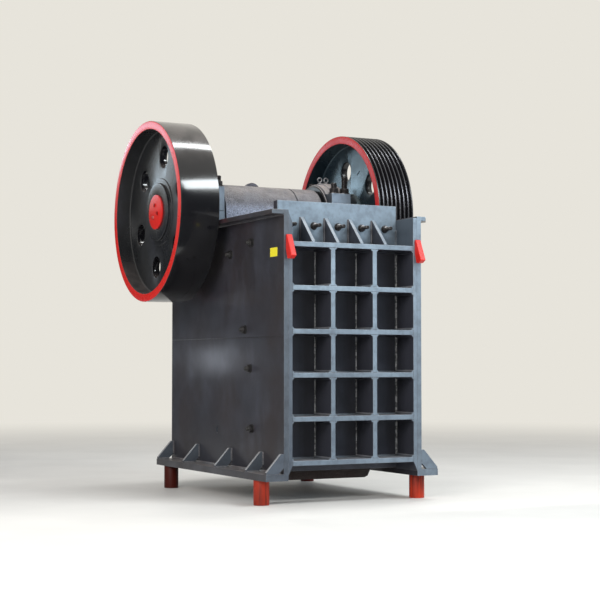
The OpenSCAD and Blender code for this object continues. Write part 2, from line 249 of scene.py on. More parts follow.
def bisect(piece, z):
    """Cuts a line around a piece at a height, without parting it."""
    open_mesh(piece)
    bpy.ops.mesh.bisect(plane_co=at(0, 0, z), plane_no=(0, 0, 1))
    close_mesh()


# Starting shapes


def box_start(name, low, high):
    low, high = at(*low), at(*high)
    bpy.ops.mesh.primitive_cube_add(size=1, location=(low + high) / 2, scale=high - low)
    piece = named(name)
    settle(piece)
    return piece


def rod_start(name, radius, length, place, sides=32, turn=(0, 0, 0)):
    bpy.ops.mesh.primitive_cylinder_add(
        vertices=sides, radius=radius * MM, depth=length * MM, location=place, rotation=turn
    )
    piece = named(name)
    settle(piece)
    return piece


def rounded(corners, steps=3):
    """Outline of (a, b, radius) corners with each corner turned into a short arc."""
    outline = []
    for i, (a, b, radius) in enumerate(corners):
        here = Vector((a, b))
        before = Vector(corners[i - 1][:2])
        after = Vector(corners[(i + 1) % len(corners)][:2])
        if not radius:
            outline.append((a, b))
            continue
        back, ahead = (before - here), (after - here)
        half = back.angle(ahead) / 2
        cut = min(radius / math.tan(half), 0.45 * back.length, 0.45 * ahead.length)
        start, end = here + back.normalized() * cut, here + ahead.normalized() * cut
        for k in range(steps + 1):
            t = k / steps
            spot = start * (1 - t) ** 2 + here * 2 * t * (1 - t) + end * t * t
            outline.append((spot.x, spot.y))
    return outline


def lathe(name, outline, centre, axis="X", steps=64):
    """Spins a closed outline of (distance from the axis, distance along it) around the axis."""
    bpy.ops.mesh.primitive_circle_add(vertices=len(outline), radius=1, fill_type="NOTHING")
    piece = named(name)
    out, along = {"X": ((0, 0, 1), (1, 0, 0)), "Y": ((0, 0, 1), (0, 1, 0)), "Z": ((1, 0, 0), (0, 0, 1))}[axis]
    out, along = Vector(out), Vector(along)
    for vertex, (r, a) in zip(piece.data.vertices, outline):
        vertex.co = centre + out * r * MM + along * a * MM
    open_mesh(piece)
    bpy.ops.mesh.spin(steps=steps, dupli=False, angle=math.tau, center=centre, axis=along)
    bpy.ops.mesh.select_all(action="SELECT")
    bpy.ops.mesh.remove_doubles(threshold=DOUBLES)
    bpy.ops.mesh.normals_make_consistent(inside=False)
    close_mesh()
    return piece


def cut_away(piece, tools):
    """Cuts the tools' shapes out of a piece."""
    for tool in tools:
        finish_with(piece, "BOOLEAN", operation="DIFFERENCE", solver="EXACT", object=tool)
    drop(*tools)


def rounded_copy(node, name, radius, paint="Charcoal paint", segments=2, cuts=()):
    """Copy of a CAD node with its loose triangles merged and its edges rounded, which stands for it."""
    source = NODES[node]
    piece = bpy.data.objects.new(name, source.data.copy())
    bpy.context.scene.collection.objects.link(piece)
    only(piece)
    bpy.ops.mesh.customdata_custom_splitnormals_clear()
    open_mesh(piece)
    bpy.ops.mesh.remove_doubles(threshold=DOUBLES)
    bpy.ops.mesh.dissolve_limited(angle_limit=FLAT)
    close_mesh()
    if cuts:
        cut_away(piece, cuts)
        open_mesh(piece)
        bpy.ops.mesh.dissolve_limited(angle_limit=FLAT)
        close_mesh()
    if radius:
        round_edges(piece, radius, segments)
    smooth(piece, 50, flat_faces=True)
    return give(piece, source["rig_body"], paint, (node,))


# Shader nodes


class Tree:
    """Nodes of a material, a shader group or the world, with short ways to add the usual ones."""

    def __init__(self, owner):
        self.nodes = owner.nodes
        self.add = owner.nodes.new
        self.link = owner.links.new

    def feed(self, socket, value):
        """Links a socket to another one, or sets it to a plain number or colour."""
        if isinstance(value, bpy.types.NodeSocket):
            self.link(value, socket)
        else:
            socket.default_value = value

    def where(self):
        return self.add("ShaderNodeTexCoord").outputs["Object"]

    def part(self, vector, axis):
        """One of the three parts of a vector."""
        node = self.add("ShaderNodeSeparateXYZ")
        self.link(vector, node.inputs[0])
        return node.outputs[axis]

    def math(self, operation, first, second, clamp=False):
        node = self.add("ShaderNodeMath")
        node.operation = operation
        node.use_clamp = clamp
        self.feed(node.inputs[0], first)
        self.feed(node.inputs[1], second)
        return node.outputs[0]

    def product(self, *shares, clamp=False):
        """Product of all shares, held between 0 and 1 where clamp is set."""
        result = shares[0]
        for share in shares[1:-1]:
            result = self.math("MULTIPLY", result, share)
        return self.math("MULTIPLY", result, shares[-1], clamp)

    def vector_math(self, operation, first, second=None):
        node = self.add("ShaderNodeVectorMath")
        node.operation = operation
        self.link(first, node.inputs[0])
        if second is not None:
            self.feed(node.inputs[1], second)
        return node.outputs["Value"]

    def ramp(self, value, low, high, to_low=0.0, to_high=1.0):
        """Smooth step of a value between two limits, from one number to another."""
        node = self.add("ShaderNodeMapRange")
        node.interpolation_type = "SMOOTHSTEP"
        for label, number in (("From Min", low), ("From Max", high), ("To Min", to_low), ("To Max", to_high)):
            node.inputs[label].default_value = number
        self.link(value, node.inputs["Value"])
        return node.outputs["Result"]

    def mix(self, factor, first, second):
        """Colour between two others."""
        node = self.add("ShaderNodeMix")
        node.data_type = "RGBA"
        for index, value in ((0, factor), (6, first), (7, second)):
            self.feed(node.inputs[index], value)
        return node.outputs[2]

    def mix_shaders(self, factor, first, second, output):
        node = self.add("ShaderNodeMixShader")
        for socket, value in zip(node.inputs, (factor, first.outputs[0], second.outputs[0])):
            self.link(value, socket)
        self.link(node.outputs[0], self.nodes[output].inputs["Surface"])

    def noise(self, vector, scale, detail=4.0, rough=0.55, stretch=None):
        """Noise whose scale is a number or a socket, on stretched coordinates where stretch is given."""
        if stretch:
            mapping = self.add("ShaderNodeMapping")
            mapping.inputs["Scale"].default_value = stretch
            self.link(vector, mapping.inputs["Vector"])
            vector = mapping.outputs[0]
        node = self.add("ShaderNodeTexNoise")
        for label, value in (("Vector", vector), ("Scale", scale), ("Detail", detail), ("Roughness", rough)):
            self.feed(node.inputs[label], value)
        return node.outputs["Fac"]

    def place(self, name, **values):
        """Places a shader group and feeds its inputs. Labels use _ for spaces."""
        node = self.add("ShaderNodeGroup")
        node.node_tree = bpy.data.node_groups[name]
        for key, value in values.items():
            self.feed(node.inputs[key.replace("_", " ")], value)
        return node.outputs

    def bump(self, shader, height, strength, distance):
        node = self.add("ShaderNodeBump")
        node.inputs["Strength"].default_value = strength
        node.inputs["Distance"].default_value = distance
        self.link(height, node.inputs["Height"])
        self.link(node.outputs[0], shader.inputs["Normal"])

    def shown_rays(self):
        """1 for the rays of the camera, of mirrors and of glass, which see the plain background."""
        rays = self.add("ShaderNodeLightPath").outputs
        seen = self.math("MAXIMUM", rays["Is Camera Ray"], rays["Is Glossy Ray"])
        return self.math("MAXIMUM", seen, rays["Is Transmission Ray"])


# Shader groups: each puts out colours, masks or heights that change over the surface


def new_group(name, inputs, outputs):
    """Group with inputs that are labels with a number or a colour, and outputs that are labels."""
    group = bpy.data.node_groups.new(name, "ShaderNodeTree")
    for label, value in inputs.items():
        kind = "NodeSocketColor" if isinstance(value, tuple) else "NodeSocketFloat"
        group.interface.new_socket(label, in_out="INPUT", socket_type=kind).default_value = value
    for label in outputs:
        kind = "NodeSocketColor" if label == "Colour" else "NodeSocketFloat"
        group.interface.new_socket(label, in_out="OUTPUT", socket_type=kind)
    tree = Tree(group)
    return tree, tree.add("NodeGroupInput").outputs, tree.add("NodeGroupOutput").inputs


def lay_over(tree, given, result, over, *shares):
    """Ends a group that lays one colour over another where all its shares and its Amount allow it."""
    mask = tree.product(*shares, given["Amount"], clamp=True)
    tree.link(tree.mix(mask, given["Colour"], given[over]), result["Colour"])
    tree.link(mask, result["Mask"])


def group_tone():
    """Slow tone changes, faint upright runs and pale patches of mottling and painted sheen in a coat of
    paint.
    """
    tree, given, result = new_group(
        "Paint tone",
        {"Colour": (0.1, 0.1, 0.1, 1), "Dark": (0.05, 0.05, 0.05, 1), "Cloud Scale": 1.6, "Cloud Amount": 0.4,
         "Run Amount": 0.2, "Haze": (0.056, 0.060, 0.080, 1), "Haze Amount": 0.0},
        ("Colour", "Clouds", "Mist"),
    )
    where = tree.where()
    clouds = tree.ramp(tree.noise(where, given["Cloud Scale"]), 0.32, 0.7)
    runs = tree.ramp(tree.noise(where, 5.0, 3.0, 0.6, (6, 6, 0.35)), 0.45, 0.75)
    cloudy = tree.product(clouds, given["Cloud Amount"])
    streaked = tree.product(runs, given["Run Amount"])
    toned = tree.mix(tree.math("ADD", cloudy, streaked, True), given["Colour"], given["Dark"])
    # Pale patches, which stand partly for mottled paint and partly for painted sheen
    mist = tree.ramp(tree.noise(where, 2.6, 8.0, 0.68, (1, 1, 0.6)), 0.46, 0.74)
    hazy = tree.product(mist, given["Haze Amount"], clamp=True)
    tree.link(tree.mix(hazy, toned, given["Haze"]), result["Colour"])
    tree.link(clouds, result["Clouds"])
    tree.link(mist, result["Mist"])


def group_dust():
    """Dust that lies on faces which look up, thicker in patches."""
    tree, given, result = new_group(
        "Settled dust",
        {"Colour": (0.1, 0.1, 0.1, 1), "Dust": (0.4, 0.34, 0.3, 1), "Amount": 0.5, "Scale": 7.0},
        ("Colour", "Mask"),
    )
    coords = tree.add("ShaderNodeTexCoord").outputs
    up = tree.ramp(tree.part(coords["Normal"], "Z"), 0.35, 0.95)
    patches = tree.ramp(tree.noise(coords["Object"], given["Scale"]), 0.3, 0.65, 0.35, 1.0)
    lay_over(tree, given, result, "Dust", up, patches)


def group_pale_lighting():
    """Painted light: pale blue-grey on faces that look forward and up, dimmer low down, on the left and in
    patches.
    """
    tree, given, result = new_group(
        "Pale film",
        {"Colour": (0.1, 0.1, 0.1, 1), "Film": (0.14, 0.17, 0.2, 1), "Amount": 1.0, "Left Amount": 1.0},
        ("Colour", "Mask"),
    )
    coords = tree.add("ShaderNodeTexCoord").outputs
    where = coords["Object"]
    facing = tree.ramp(tree.vector_math("DOT_PRODUCT", coords["Normal"], (0, -0.75, 0.66)), 0.25, 0.65)
    thin = tree.ramp(tree.noise(where, 2.2, 5.0, 0.6), 0.3, 0.7, 0.66, 1.0)
    mottled = tree.ramp(tree.noise(where, 16.0, 5.0, 0.65), 0.34, 0.6, 0.72, 1.0)
    # Painted shade: the painted light fades lower down and at the left end of the machine
    height = tree.ramp(tree.part(where, "Z"), 0.3, 2.3, 0.62, 1.0)
    on_left = tree.ramp(tree.part(where, "X"), -0.58, -0.55, 1.0, 0.0)
    spare = tree.math("SUBTRACT", 1.0, given["Left Amount"])
    left = tree.math("SUBTRACT", 1.0, tree.product(on_left, spare))
    lay_over(tree, given, result, "Film", facing, thin, mottled, height, left)


def group_worn_edge():
    """Worn metal along sharp edges, broken up by noise."""
    tree, given, result = new_group(
        "Worn edges",
        {"Colour": (0.1, 0.1, 0.1, 1), "Metal": (0.4, 0.4, 0.4, 1), "Width": 0.006, "Amount": 0.6},
        ("Colour", "Mask"),
    )
    bevel = tree.add("ShaderNodeBevel")
    bevel.samples = 3
    tree.link(given["Width"], bevel.inputs["Radius"])
    true_normal = tree.add("ShaderNodeNewGeometry").outputs["Normal"]
    bend = tree.math("SUBTRACT", 1.0, tree.vector_math("DOT_PRODUCT", bevel.outputs[0], true_normal), True)
    edge = tree.ramp(bend, 0.03, 0.2)
    broken = tree.ramp(tree.noise(tree.where(), 22.0, 5.0, 0.65), 0.42, 0.62)
    lay_over(tree, given, result, "Metal", edge, broken)


def group_brushed_coat():
    """Height of a hand painted plate: slow waves of the plate and fine orange peel."""
    tree, given, result = new_group("Coat height", {"Wave Amount": 1.0, "Peel Amount": 0.1}, ("Height",))
    where = tree.where()
    waves = tree.product(tree.noise(where, 3.5, 2.0), given["Wave Amount"])
    peel = tree.product(tree.noise(where, 140.0, 2.0), given["Peel Amount"])
    tree.link(tree.math("ADD", waves, peel), result["Height"])


def group_cast_skin():
    """Rough skin of a sand casting, with pits and ground patches."""
    tree, given, result = new_group("Cast skin", {"Scale": 40.0}, ("Height", "Pits", "Patches"))
    where = tree.where()
    grain = tree.noise(where, given["Scale"], 8.0, 0.7)
    cells = tree.add("ShaderNodeTexVoronoi")
    tree.link(where, cells.inputs["Vector"])
    tree.link(tree.product(given["Scale"], 1.3), cells.inputs["Scale"])
    pits = tree.ramp(cells.outputs["Distance"], 0.05, 0.4)
    tree.link(tree.math("ADD", grain, tree.product(pits, 0.35)), result["Height"])
    tree.link(pits, result["Pits"])
    tree.link(tree.ramp(tree.noise(where, 9.0, 10.0, 0.8), 0.4, 0.6), result["Patches"])


# Materials


def shade(colour, factor=1):
    """Colour made darker or brighter, with its alpha."""
    return (*(part * factor for part in colour[:3]), 1.0)


def new_material(name):
    material = bpy.data.materials.new(name)
    material.use_nodes = True
    tree = Tree(material.node_tree)
    return tree, tree.nodes["Principled BSDF"]


def painted(name, colour, dust, gloss=(0.3, 0.42), dust_amount=0.5, cloud=0.4, runs=0.25, wear=0.5,
            metal=(0.22, 0.22, 0.23, 1), specular=0.5, wave=0.0025, peel=0.08, coat=0.0, coat_rough=0.08,
            lighting=None, lighting_left=1.0, dark=None, haze_and_sheen=0.0, tint=None):
    """Coat of paint on steel with tone, dust on top faces, worn edges, a wavy gloss and painted light where
    given.
    """
    tree, shader = new_material(name)
    tone = tree.place("Paint tone", Colour=shade(colour), Dark=shade(dark or colour, 0.62),
                      Cloud_Amount=cloud, Run_Amount=runs, Haze_Amount=haze_and_sheen)
    ground = tone["Colour"]
    # Painted light on faces that look forward and up
    if lighting:
        ground = tree.place("Pale film", Colour=ground, Film=shade(lighting), Left_Amount=lighting_left)["Colour"]
    worn = tree.place("Worn edges", Colour=ground, Metal=metal, Amount=wear)
    dusty = tree.place("Settled dust", Colour=worn["Colour"], Dust=shade(dust), Amount=dust_amount)
    tree.link(dusty["Colour"], shader.inputs["Base Color"])
    sheen = tree.ramp(tone["Clouds"], 0.0, 1.0, *gloss)
    dull = tree.product(dusty["Mask"], 0.45)
    tree.link(tree.math("ADD", sheen, dull, True), shader.inputs["Roughness"])
    shader.inputs["Specular IOR Level"].default_value = specular
    if tint:
        shader.inputs["Specular Tint"].default_value = shade(tint)
    if coat:
        tree.link(tree.ramp(tone["Mist"], 0.0, 1.0, coat * 0.6, coat * 1.3), shader.inputs["Coat Weight"])
        shader.inputs["Coat Roughness"].default_value = coat_rough
    height = tree.place("Coat height", Peel_Amount=peel)["Height"]
    tree.bump(shader, height, 0.35, wave)


def cast(name, colour, dark, bright, rough=0.62, metallic=0.0, scale=40.0, distance=0.004, dust_amount=0.3,
         low_darkening=0.0, highlight_band=None):
    """Bare or thinly painted casting; its lowest part can turn dark brown and a band can carry a painted
    highlight.
    """
    tree, shader = new_material(name)
    skin = tree.place("Cast skin", Scale=scale)
    ground = tree.mix(skin["Patches"], shade(colour), shade(bright))
    pitted = tree.mix(skin["Pits"], shade(dark), ground)
    if low_darkening:
        low = tree.ramp(tree.part(tree.where(), "Z"), 0.45, 1.1, low_darkening, 0.0)
        pitted = tree.mix(low, pitted, (0.022, 0.012, 0.010, 1))
    # Painted highlight: pale blue-grey specks in a band around the barrel
    if highlight_band:
        where = tree.where()
        height = tree.part(where, "Z")
        above = tree.ramp(height, highlight_band[0] - 0.2, highlight_band[0])
        below = tree.ramp(height, highlight_band[1] - 0.06, highlight_band[1] + 0.05, 1.0, 0.0)
        highlight_specks = tree.ramp(tree.noise(where, 75.0, 6.0, 0.75), 0.36, 0.64, 0.2, 1.0)
        pitted = tree.mix(tree.product(above, below, highlight_specks), pitted, (0.32, 0.36, 0.47, 1))
    dusty = tree.place("Settled dust", Colour=pitted, Dust=(0.36, 0.31, 0.28, 1), Amount=dust_amount)
    tree.link(dusty["Colour"], shader.inputs["Base Color"])
    tree.link(tree.ramp(skin["Patches"], 0, 1, rough, rough - 0.16), shader.inputs["Roughness"])
    shader.inputs["Metallic"].default_value = metallic
    tree.bump(shader, skin["Height"], 0.6, distance)


def bare_steel(name, colour, stain, rough=(0.28, 0.5), metallic=0.9, scale=9.0, stretch=(1, 1, 1),
               marks_depth=0.25):
    """Machined steel with thin stains and tool marks."""
    tree, shader = new_material(name)
    where = tree.where()
    stains = tree.ramp(tree.noise(where, scale, 6.0, 0.65), 0.42, 0.68)
    marks = tree.noise(where, 60.0, 3.0, 0.6, stretch)
    tree.link(tree.mix(stains, shade(colour), shade(stain)), shader.inputs["Base Color"])
    tree.link(tree.ramp(stains, 0, 1, *rough), shader.inputs["Roughness"])
    shader.inputs["Metallic"].default_value = metallic
    tree.bump(shader, marks, marks_depth, 0.0008)


def weld_metal(name, colour, dark):
    """Pale weld metal with broken bright ripples, painted as the glints of lit beads."""
    tree, shader = new_material(name)
    where = tree.where()
    spots = tree.ramp(tree.noise(where, 30.0, 3.0, 0.7), 0.4, 0.6)
    tree.link(tree.mix(spots, shade(dark), shade(colour)), shader.inputs["Base Color"])
    shader.inputs["Roughness"].default_value = 0.4
    tree.bump(shader, tree.noise(where, 300.0, 2.0), 0.4, 0.0008)


# Values that a user would change


def length(label, text, value, top=0.1):
    return bpy.props.FloatProperty(
        name=label, description=text, default=value, min=0.0, max=top, subtype="DISTANCE", unit="LENGTH"
    )


def colour(label, text, value):
    return bpy.props.FloatVectorProperty(
        name=label, description=text, default=value, size=3, min=0.0, max=1.0, subtype="COLOR"
    )


def whole_number(label, text, value, least, most):
    return bpy.props.IntProperty(name=label, description=text, default=value, min=least, max=most)


class CrusherSizes(bpy.types.PropertyGroup):
    """Sizes of the finishing work on the machine"""

    plate_edge: length("Plate edge", "Rounding along the edges of cut plates", 0.003)
    casting_edge: length("Casting edge", "Rounding along the edges of castings", 0.010)
    weld_leg: length("Weld leg", "Width of a weld bead on each of its two plates", 0.014)
    weld_pitch: length("Weld pitch", "Distance from one ripple of a weld bead to the next", 0.017)
    wire: length("Spring wire", "Radius of the wire of the tension rod springs", 0.011)
    wheel_steps: whole_number("Wheel steps", "Flat steps around the rim of a wheel", 160, 48, 256)
    spring_turns: whole_number("Spring turns", "Turns of a tension rod spring", 5, 3, 8)


class CrusherColours(bpy.types.PropertyGroup):
    """Colours of the machine and of the studio"""

    frame_paint: colour("Frame paint", "Charcoal paint of the frame", (0.026, 0.027, 0.035))
    # Colour painted as light on frame faces that look forward and up
    front_lighting: colour("Front film", "Pale film on frame faces that look forward", (0.215, 0.270, 0.322))
    wheel_paint: colour("Wheel paint", "Black gloss of the wheels", (0.0065, 0.0065, 0.008))
    red_paint: colour("Red paint", "Red of the rims, hub covers and lifting wedges", (0.68, 0.024, 0.018))
    post_paint: colour("Post paint", "Dull red of the posts", (0.46, 0.034, 0.012))
    casting: colour("Casting", "Thin grey coat of the swing jaw casting", (0.048, 0.047, 0.058))
    bolt: colour("Bolts", "Dark brown steel of nuts and bolts", (0.046, 0.043, 0.044))
    plate: colour("Marking plate", "Yellow of the blank plate on the side", (0.84, 0.73, 0.035))
    dust: colour("Dust", "Dust on faces that look up", (0.30, 0.25, 0.23))
    floor: colour("Floor", "Pale studio floor", (0.83, 0.795, 0.755))
    background: colour("Background", "Pale studio background", (0.80, 0.775, 0.71))


# Operators


class CRUSHER_OT_paints(bpy.types.Operator):
    """Mix the paints, castings and steels of the machine"""

    bl_idname = "crusher.paints"
    bl_label = "Mix paints"

    def frame_paints(self, colours):
        dust, lighting, charcoal = colours.dust, colours.front_lighting, colours.frame_paint
        # Charcoal and front paints carry painted light on faces that look forward, less of it at the left end
        painted("Charcoal paint", charcoal, dust, gloss=(0.34, 0.48), specular=0.4, dust_amount=0.55,
                cloud=0.8, runs=0.16, coat=0.4, coat_rough=0.145, lighting=lighting, lighting_left=0.39,
                dark=(0.034, 0.025, 0.028), haze_and_sheen=0.6)
        painted("Front paint", shade(charcoal, 1.25), dust, gloss=(0.28, 0.38), dust_amount=0.4, cloud=0.3,
                wear=0.35, metal=(0.30, 0.32, 0.34, 1), lighting=lighting, lighting_left=0.42)
        # Painted shade: the front paint without its painted light, with pale patches as painted glints
        painted("Shaded cell paint", shade(charcoal, 1.3), dust, gloss=(0.36, 0.5), dust_amount=0.4, cloud=0.5,
                runs=0.4, wear=0.2, haze_and_sheen=0.5)
        # Painted light: lighter copies for lit slanted gusset faces and the lit inner face of the right
        # upright
        side = {"gloss": (0.34, 0.48), "runs": 0.4, "wear": 0.3}
        painted("Lit gusset paint", (0.25, 0.262, 0.276), dust, cloud=0.6, **side)
        painted("Lit inner paint", (0.060, 0.076, 0.096), dust, cloud=0.7, **side)
        # Painted light on the front faces of the bearing housings
        painted("Housing paint", (0.040, 0.050, 0.064), (0.36, 0.31, 0.29), gloss=(0.3, 0.45),
                dust_amount=0.8, cloud=0.5, lighting=(0.22, 0.275, 0.34))

    def wheel_paints(self, colours):
        dust, black = colours.dust, colours.wheel_paint
        painted("Black gloss", black, dust, gloss=(0.10, 0.17), dust_amount=0.22, cloud=0.3, runs=0.1,
                wear=0.25, wave=0.0016, peel=0.05, coat=0.6)
        painted("Groove black", black, dust, gloss=(0.24, 0.3), dust_amount=0.05, cloud=0.3, runs=0.0,
                wear=0.0, wave=0.0, peel=0.0)
        web = {"dust_amount": 0.2, "cloud": 0.6, "runs": 0.2, "wear": 0.25, "wave": 0.003}
        painted("Web black", (0.009, 0.010, 0.012), dust, gloss=(0.25, 0.46), haze_and_sheen=0.3, **web)
        # Painted reflection: the sheave web's bluish black stands in for a bluish reflection
        painted("Bluish sheave web", (0.010, 0.017, 0.024), dust, gloss=(0.22, 0.38), specular=0.95,
                tint=(0.6, 0.86, 1.0), **web)

    def bright_paints(self, colours):
        dust, red, post = colours.dust, colours.red_paint, colours.post_paint
        chipped = {"runs": 0.05, "wear": 0.12, "metal": (0.10, 0.05, 0.05, 1)}
        painted("Red paint", red, (0.62, 0.36, 0.44), gloss=(0.2, 0.3), dust_amount=0.12, cloud=0.15,
                specular=0.42, tint=(1.0, 0.5, 0.85), **chipped)
        painted("Sheave red", shade(red, 0.8), (0.62, 0.36, 0.38), gloss=(0.24, 0.34), dust_amount=0.1,
                cloud=0.2, specular=0.2, tint=(1.0, 0.5, 0.7), **chipped)
        painted("Wedge paint", shade(red, 0.8), dust, gloss=(0.34, 0.44), dust_amount=0.06, cloud=0.15,
                specular=0.3, **chipped)
        painted("Dark red paint", shade(red, 0.45), dust, gloss=(0.35, 0.5), dust_amount=0.2, wear=0.2)
        painted("Post paint", post, dust, gloss=(0.36, 0.55), dust_amount=0.3, cloud=0.75, runs=0.85,
                metal=(0.16, 0.10, 0.08, 1), peel=0.4, specular=0.22, dark=(0.15, 0.018, 0.010))
        # Painted shade: a much darker copy of the post paint for the rear posts under the machine
        painted("Shaded post paint", shade(post, 0.115), dust, gloss=(0.45, 0.6), dust_amount=0.2, cloud=0.75,
                runs=0.5, wear=0.3, metal=(0.08, 0.04, 0.035, 1), peel=0.4, specular=0.2)
        painted("Yellow enamel", colours.plate, (0.7, 0.62, 0.3), gloss=(0.25, 0.35), dust_amount=0.2,
                cloud=0.1, runs=0.1, wear=0.2)

    def castings_and_steels(self, colours):
        casting = colours.casting
        # The jaw casting turns dark brown low down and carries a painted highlight band
        cast("Jaw casting", casting, shade(casting, 0.3), (0.096, 0.096, 0.116), rough=0.46, scale=55.0,
             distance=0.018, dust_amount=0.48, low_darkening=1.0, highlight_band=(2.44, 2.57))
        cast("Cap casting", (0.165, 0.155, 0.165), (0.08, 0.074, 0.078), (0.225, 0.215, 0.23), rough=0.5,
             scale=55.0, distance=0.002, dust_amount=0.7)
        cast("Liner steel", (0.15, 0.14, 0.135), (0.07, 0.06, 0.055), (0.24, 0.225, 0.21), rough=0.55,
             metallic=0.5, scale=30.0, distance=0.003)
        bare_steel("Bolt steel", colours.bolt, (0.018, 0.015, 0.014), (0.24, 0.42), 0.55, 40.0)
        bare_steel("Dark bolt steel", (0.016, 0.015, 0.016), (0.03, 0.028, 0.028), (0.4, 0.55), 0.2, 40.0)
        bare_steel("Eye steel", (0.20, 0.20, 0.21), (0.09, 0.09, 0.095), (0.36, 0.5), 0.3, 40.0)
        bare_steel("Machined steel", (0.42, 0.42, 0.42), (0.2, 0.18, 0.16), stretch=(1, 1, 12))
        bare_steel("Land steel", (0.085, 0.085, 0.095), (0.07, 0.07, 0.078), (0.28, 0.31), marks_depth=0.0)
        weld_metal("Glinting weld bead", (0.32, 0.325, 0.33), (0.045, 0.047, 0.052))
        painted("Spring paint", (0.02, 0.02, 0.022), colours.dust, gloss=(0.35, 0.5))

    def execute(self, context):
        for make in (
            group_tone, group_dust, group_pale_lighting, group_worn_edge, group_brushed_coat, group_cast_skin
        ):
            make()
        for mix in (self.frame_paints, self.wheel_paints, self.bright_paints, self.castings_and_steels):
            mix(context.scene.crusher_colours)
        return {"FINISHED"}


class CRUSHER_OT_side_plates(bpy.types.Operator):
    """Finish the side plates, their flanges, the base and its gussets"""

    bl_idname = "crusher.side_plates"
    bl_label = "Side plates and base"

    def execute(self, context):
        edge = context.scene.crusher_sizes.plate_edge / MM
        slot_y, slot_z, room = (1286, 1314), (536, 592), 5
        for side, sign in (("left", -1), ("right", 1)):
            inner, outer = sorted((sign * (SIDE_IN - room), sign * (SIDE_X + room)))
            slot = box_start("slot_tool", (inner, slot_y[0], slot_z[0]), (outer, slot_y[1], slot_z[1]))
            round_edges(slot, 9, 3)
            rounded_copy(f"side_plate_{side}", f"{side}_side_plate", edge, cuts=(slot,))
        rounded_copy("base_flanges", "base_flange_plates", edge * 1.3)
        rounded_copy("top_flanges", "top_flange_plates", edge)
        gussets = rounded_copy("base_gussets", "base_gusset_plates", edge, "Front paint")
        # Painted light on the slanted faces of the gussets, which face up and sideways
        repaint(gussets, "Lit gusset paint", lambda face: (
            abs(face.normal.x) > 0.3 and 0.3 < face.normal.z < 0.9
        ))
        return {"FINISHED"}


class CRUSHER_OT_front(bpy.types.Operator):
    """Finish the ribbed front wall with its gussets"""

    bl_idname = "crusher.front"
    bl_label = "Ribbed front"

    def execute(self, context):
        edge = context.scene.crusher_sizes.plate_edge / MM
        for node, name, factor in (
            ("front_wall", "front_wall_plate", 1.0), ("horizontal_ribs", "cross_ribs", 1.3),
            ("vertical_ribs", "upright_ribs", 1.2), ("front_uprights", "corner_uprights", 1.0),
            ("slanted_gussets", "top_gussets", 1.3),
        ):
            piece = rounded_copy(node, name, edge * factor, "Front paint")
            if node == "front_wall":
                # Painted shade: the wall inside the cells gets the paint without painted light
                change = RIB_TOP - RIB_T / 2
                bisect(piece, change)
                repaint(piece, "Shaded cell paint", lambda face: face.center.z < change * MM)
            # Painted light on the inner face of the right upright above the top rib
            if node == "front_uprights":
                bisect(piece, RIB_TOP)
                repaint(piece, "Lit inner paint", lambda face: (
                    face.normal.x < -0.9 and face.center.x > 0 and face.center.z > RIB_TOP * MM
                ))
        rounded_copy("lifting_hooks", "lifting_wedges", 6, "Wedge paint", segments=3)
        rounded_copy("yellow_plate", "marking_plate", 1.2, "Yellow enamel")
        return {"FINISHED"}


class CRUSHER_OT_rear(bpy.types.Operator):
    """Finish the rear wall, the toggle seat and the toggle plate"""

    bl_idname = "crusher.rear"
    bl_label = "Rear wall and toggle"

    def execute(self, context):
        edge = context.scene.crusher_sizes.plate_edge / MM
        for node, name in (
            ("rear_wall", "rear_wall_plate"), ("rear_ribs", "rear_cross_ribs"),
            ("rear_uprights", "rear_upright_ribs"), ("toggle_block", "toggle_seat_beam"),
            ("fixed_jaw_clamp", "fixed_jaw_wedge"),
        ):
            rounded_copy(node, name, edge * 1.3)
        rounded_copy("toggle_shims", "toggle_shim_plates", 2, "Machined steel")
        rounded_copy("toggle_plate", "toggle_strut", 6, "Liner steel")
        rounded_copy("cheek_plates", "cheek_liners", 6, "Liner steel")
        rounded_copy("fixed_jaw_plate", "fixed_jaw_liner", 7, "Liner steel", segments=3)
        return {"FINISHED"}


class CRUSHER_OT_posts(bpy.types.Operator):
    """Turn the four round posts"""

    bl_idname = "crusher.posts"
    bl_label = "Posts"

    def execute(self, context):
        radius = 65
        # The rear posts get the painted shade of the darker post paint
        for row, paint in (("front", "Post paint"), ("rear", "Shaded post paint")):
            node = f"{row}_posts"
            low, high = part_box(node)
            top = high.z / MM
            for side, x in (("left", low.x / MM + radius), ("right", high.x / MM - radius)):
                spots = [v.co.y for v in NODES[node].data.vertices if v.co.x * x > 0]
                y = ((min(spots) + max(spots)) / 2 - FRONT_Y) / MM
                outline = rounded([(0, 0, 0), (radius, 0, 5), (radius, top, 2), (0, top, 0)])
                post = lathe(f"{row}_{side}_post", outline, at(x, y, 0), "Z", 48)
                point_outwards(post)
                smooth(post)
                give(post, "frame", paint, (node,))
        return {"FINISHED"}


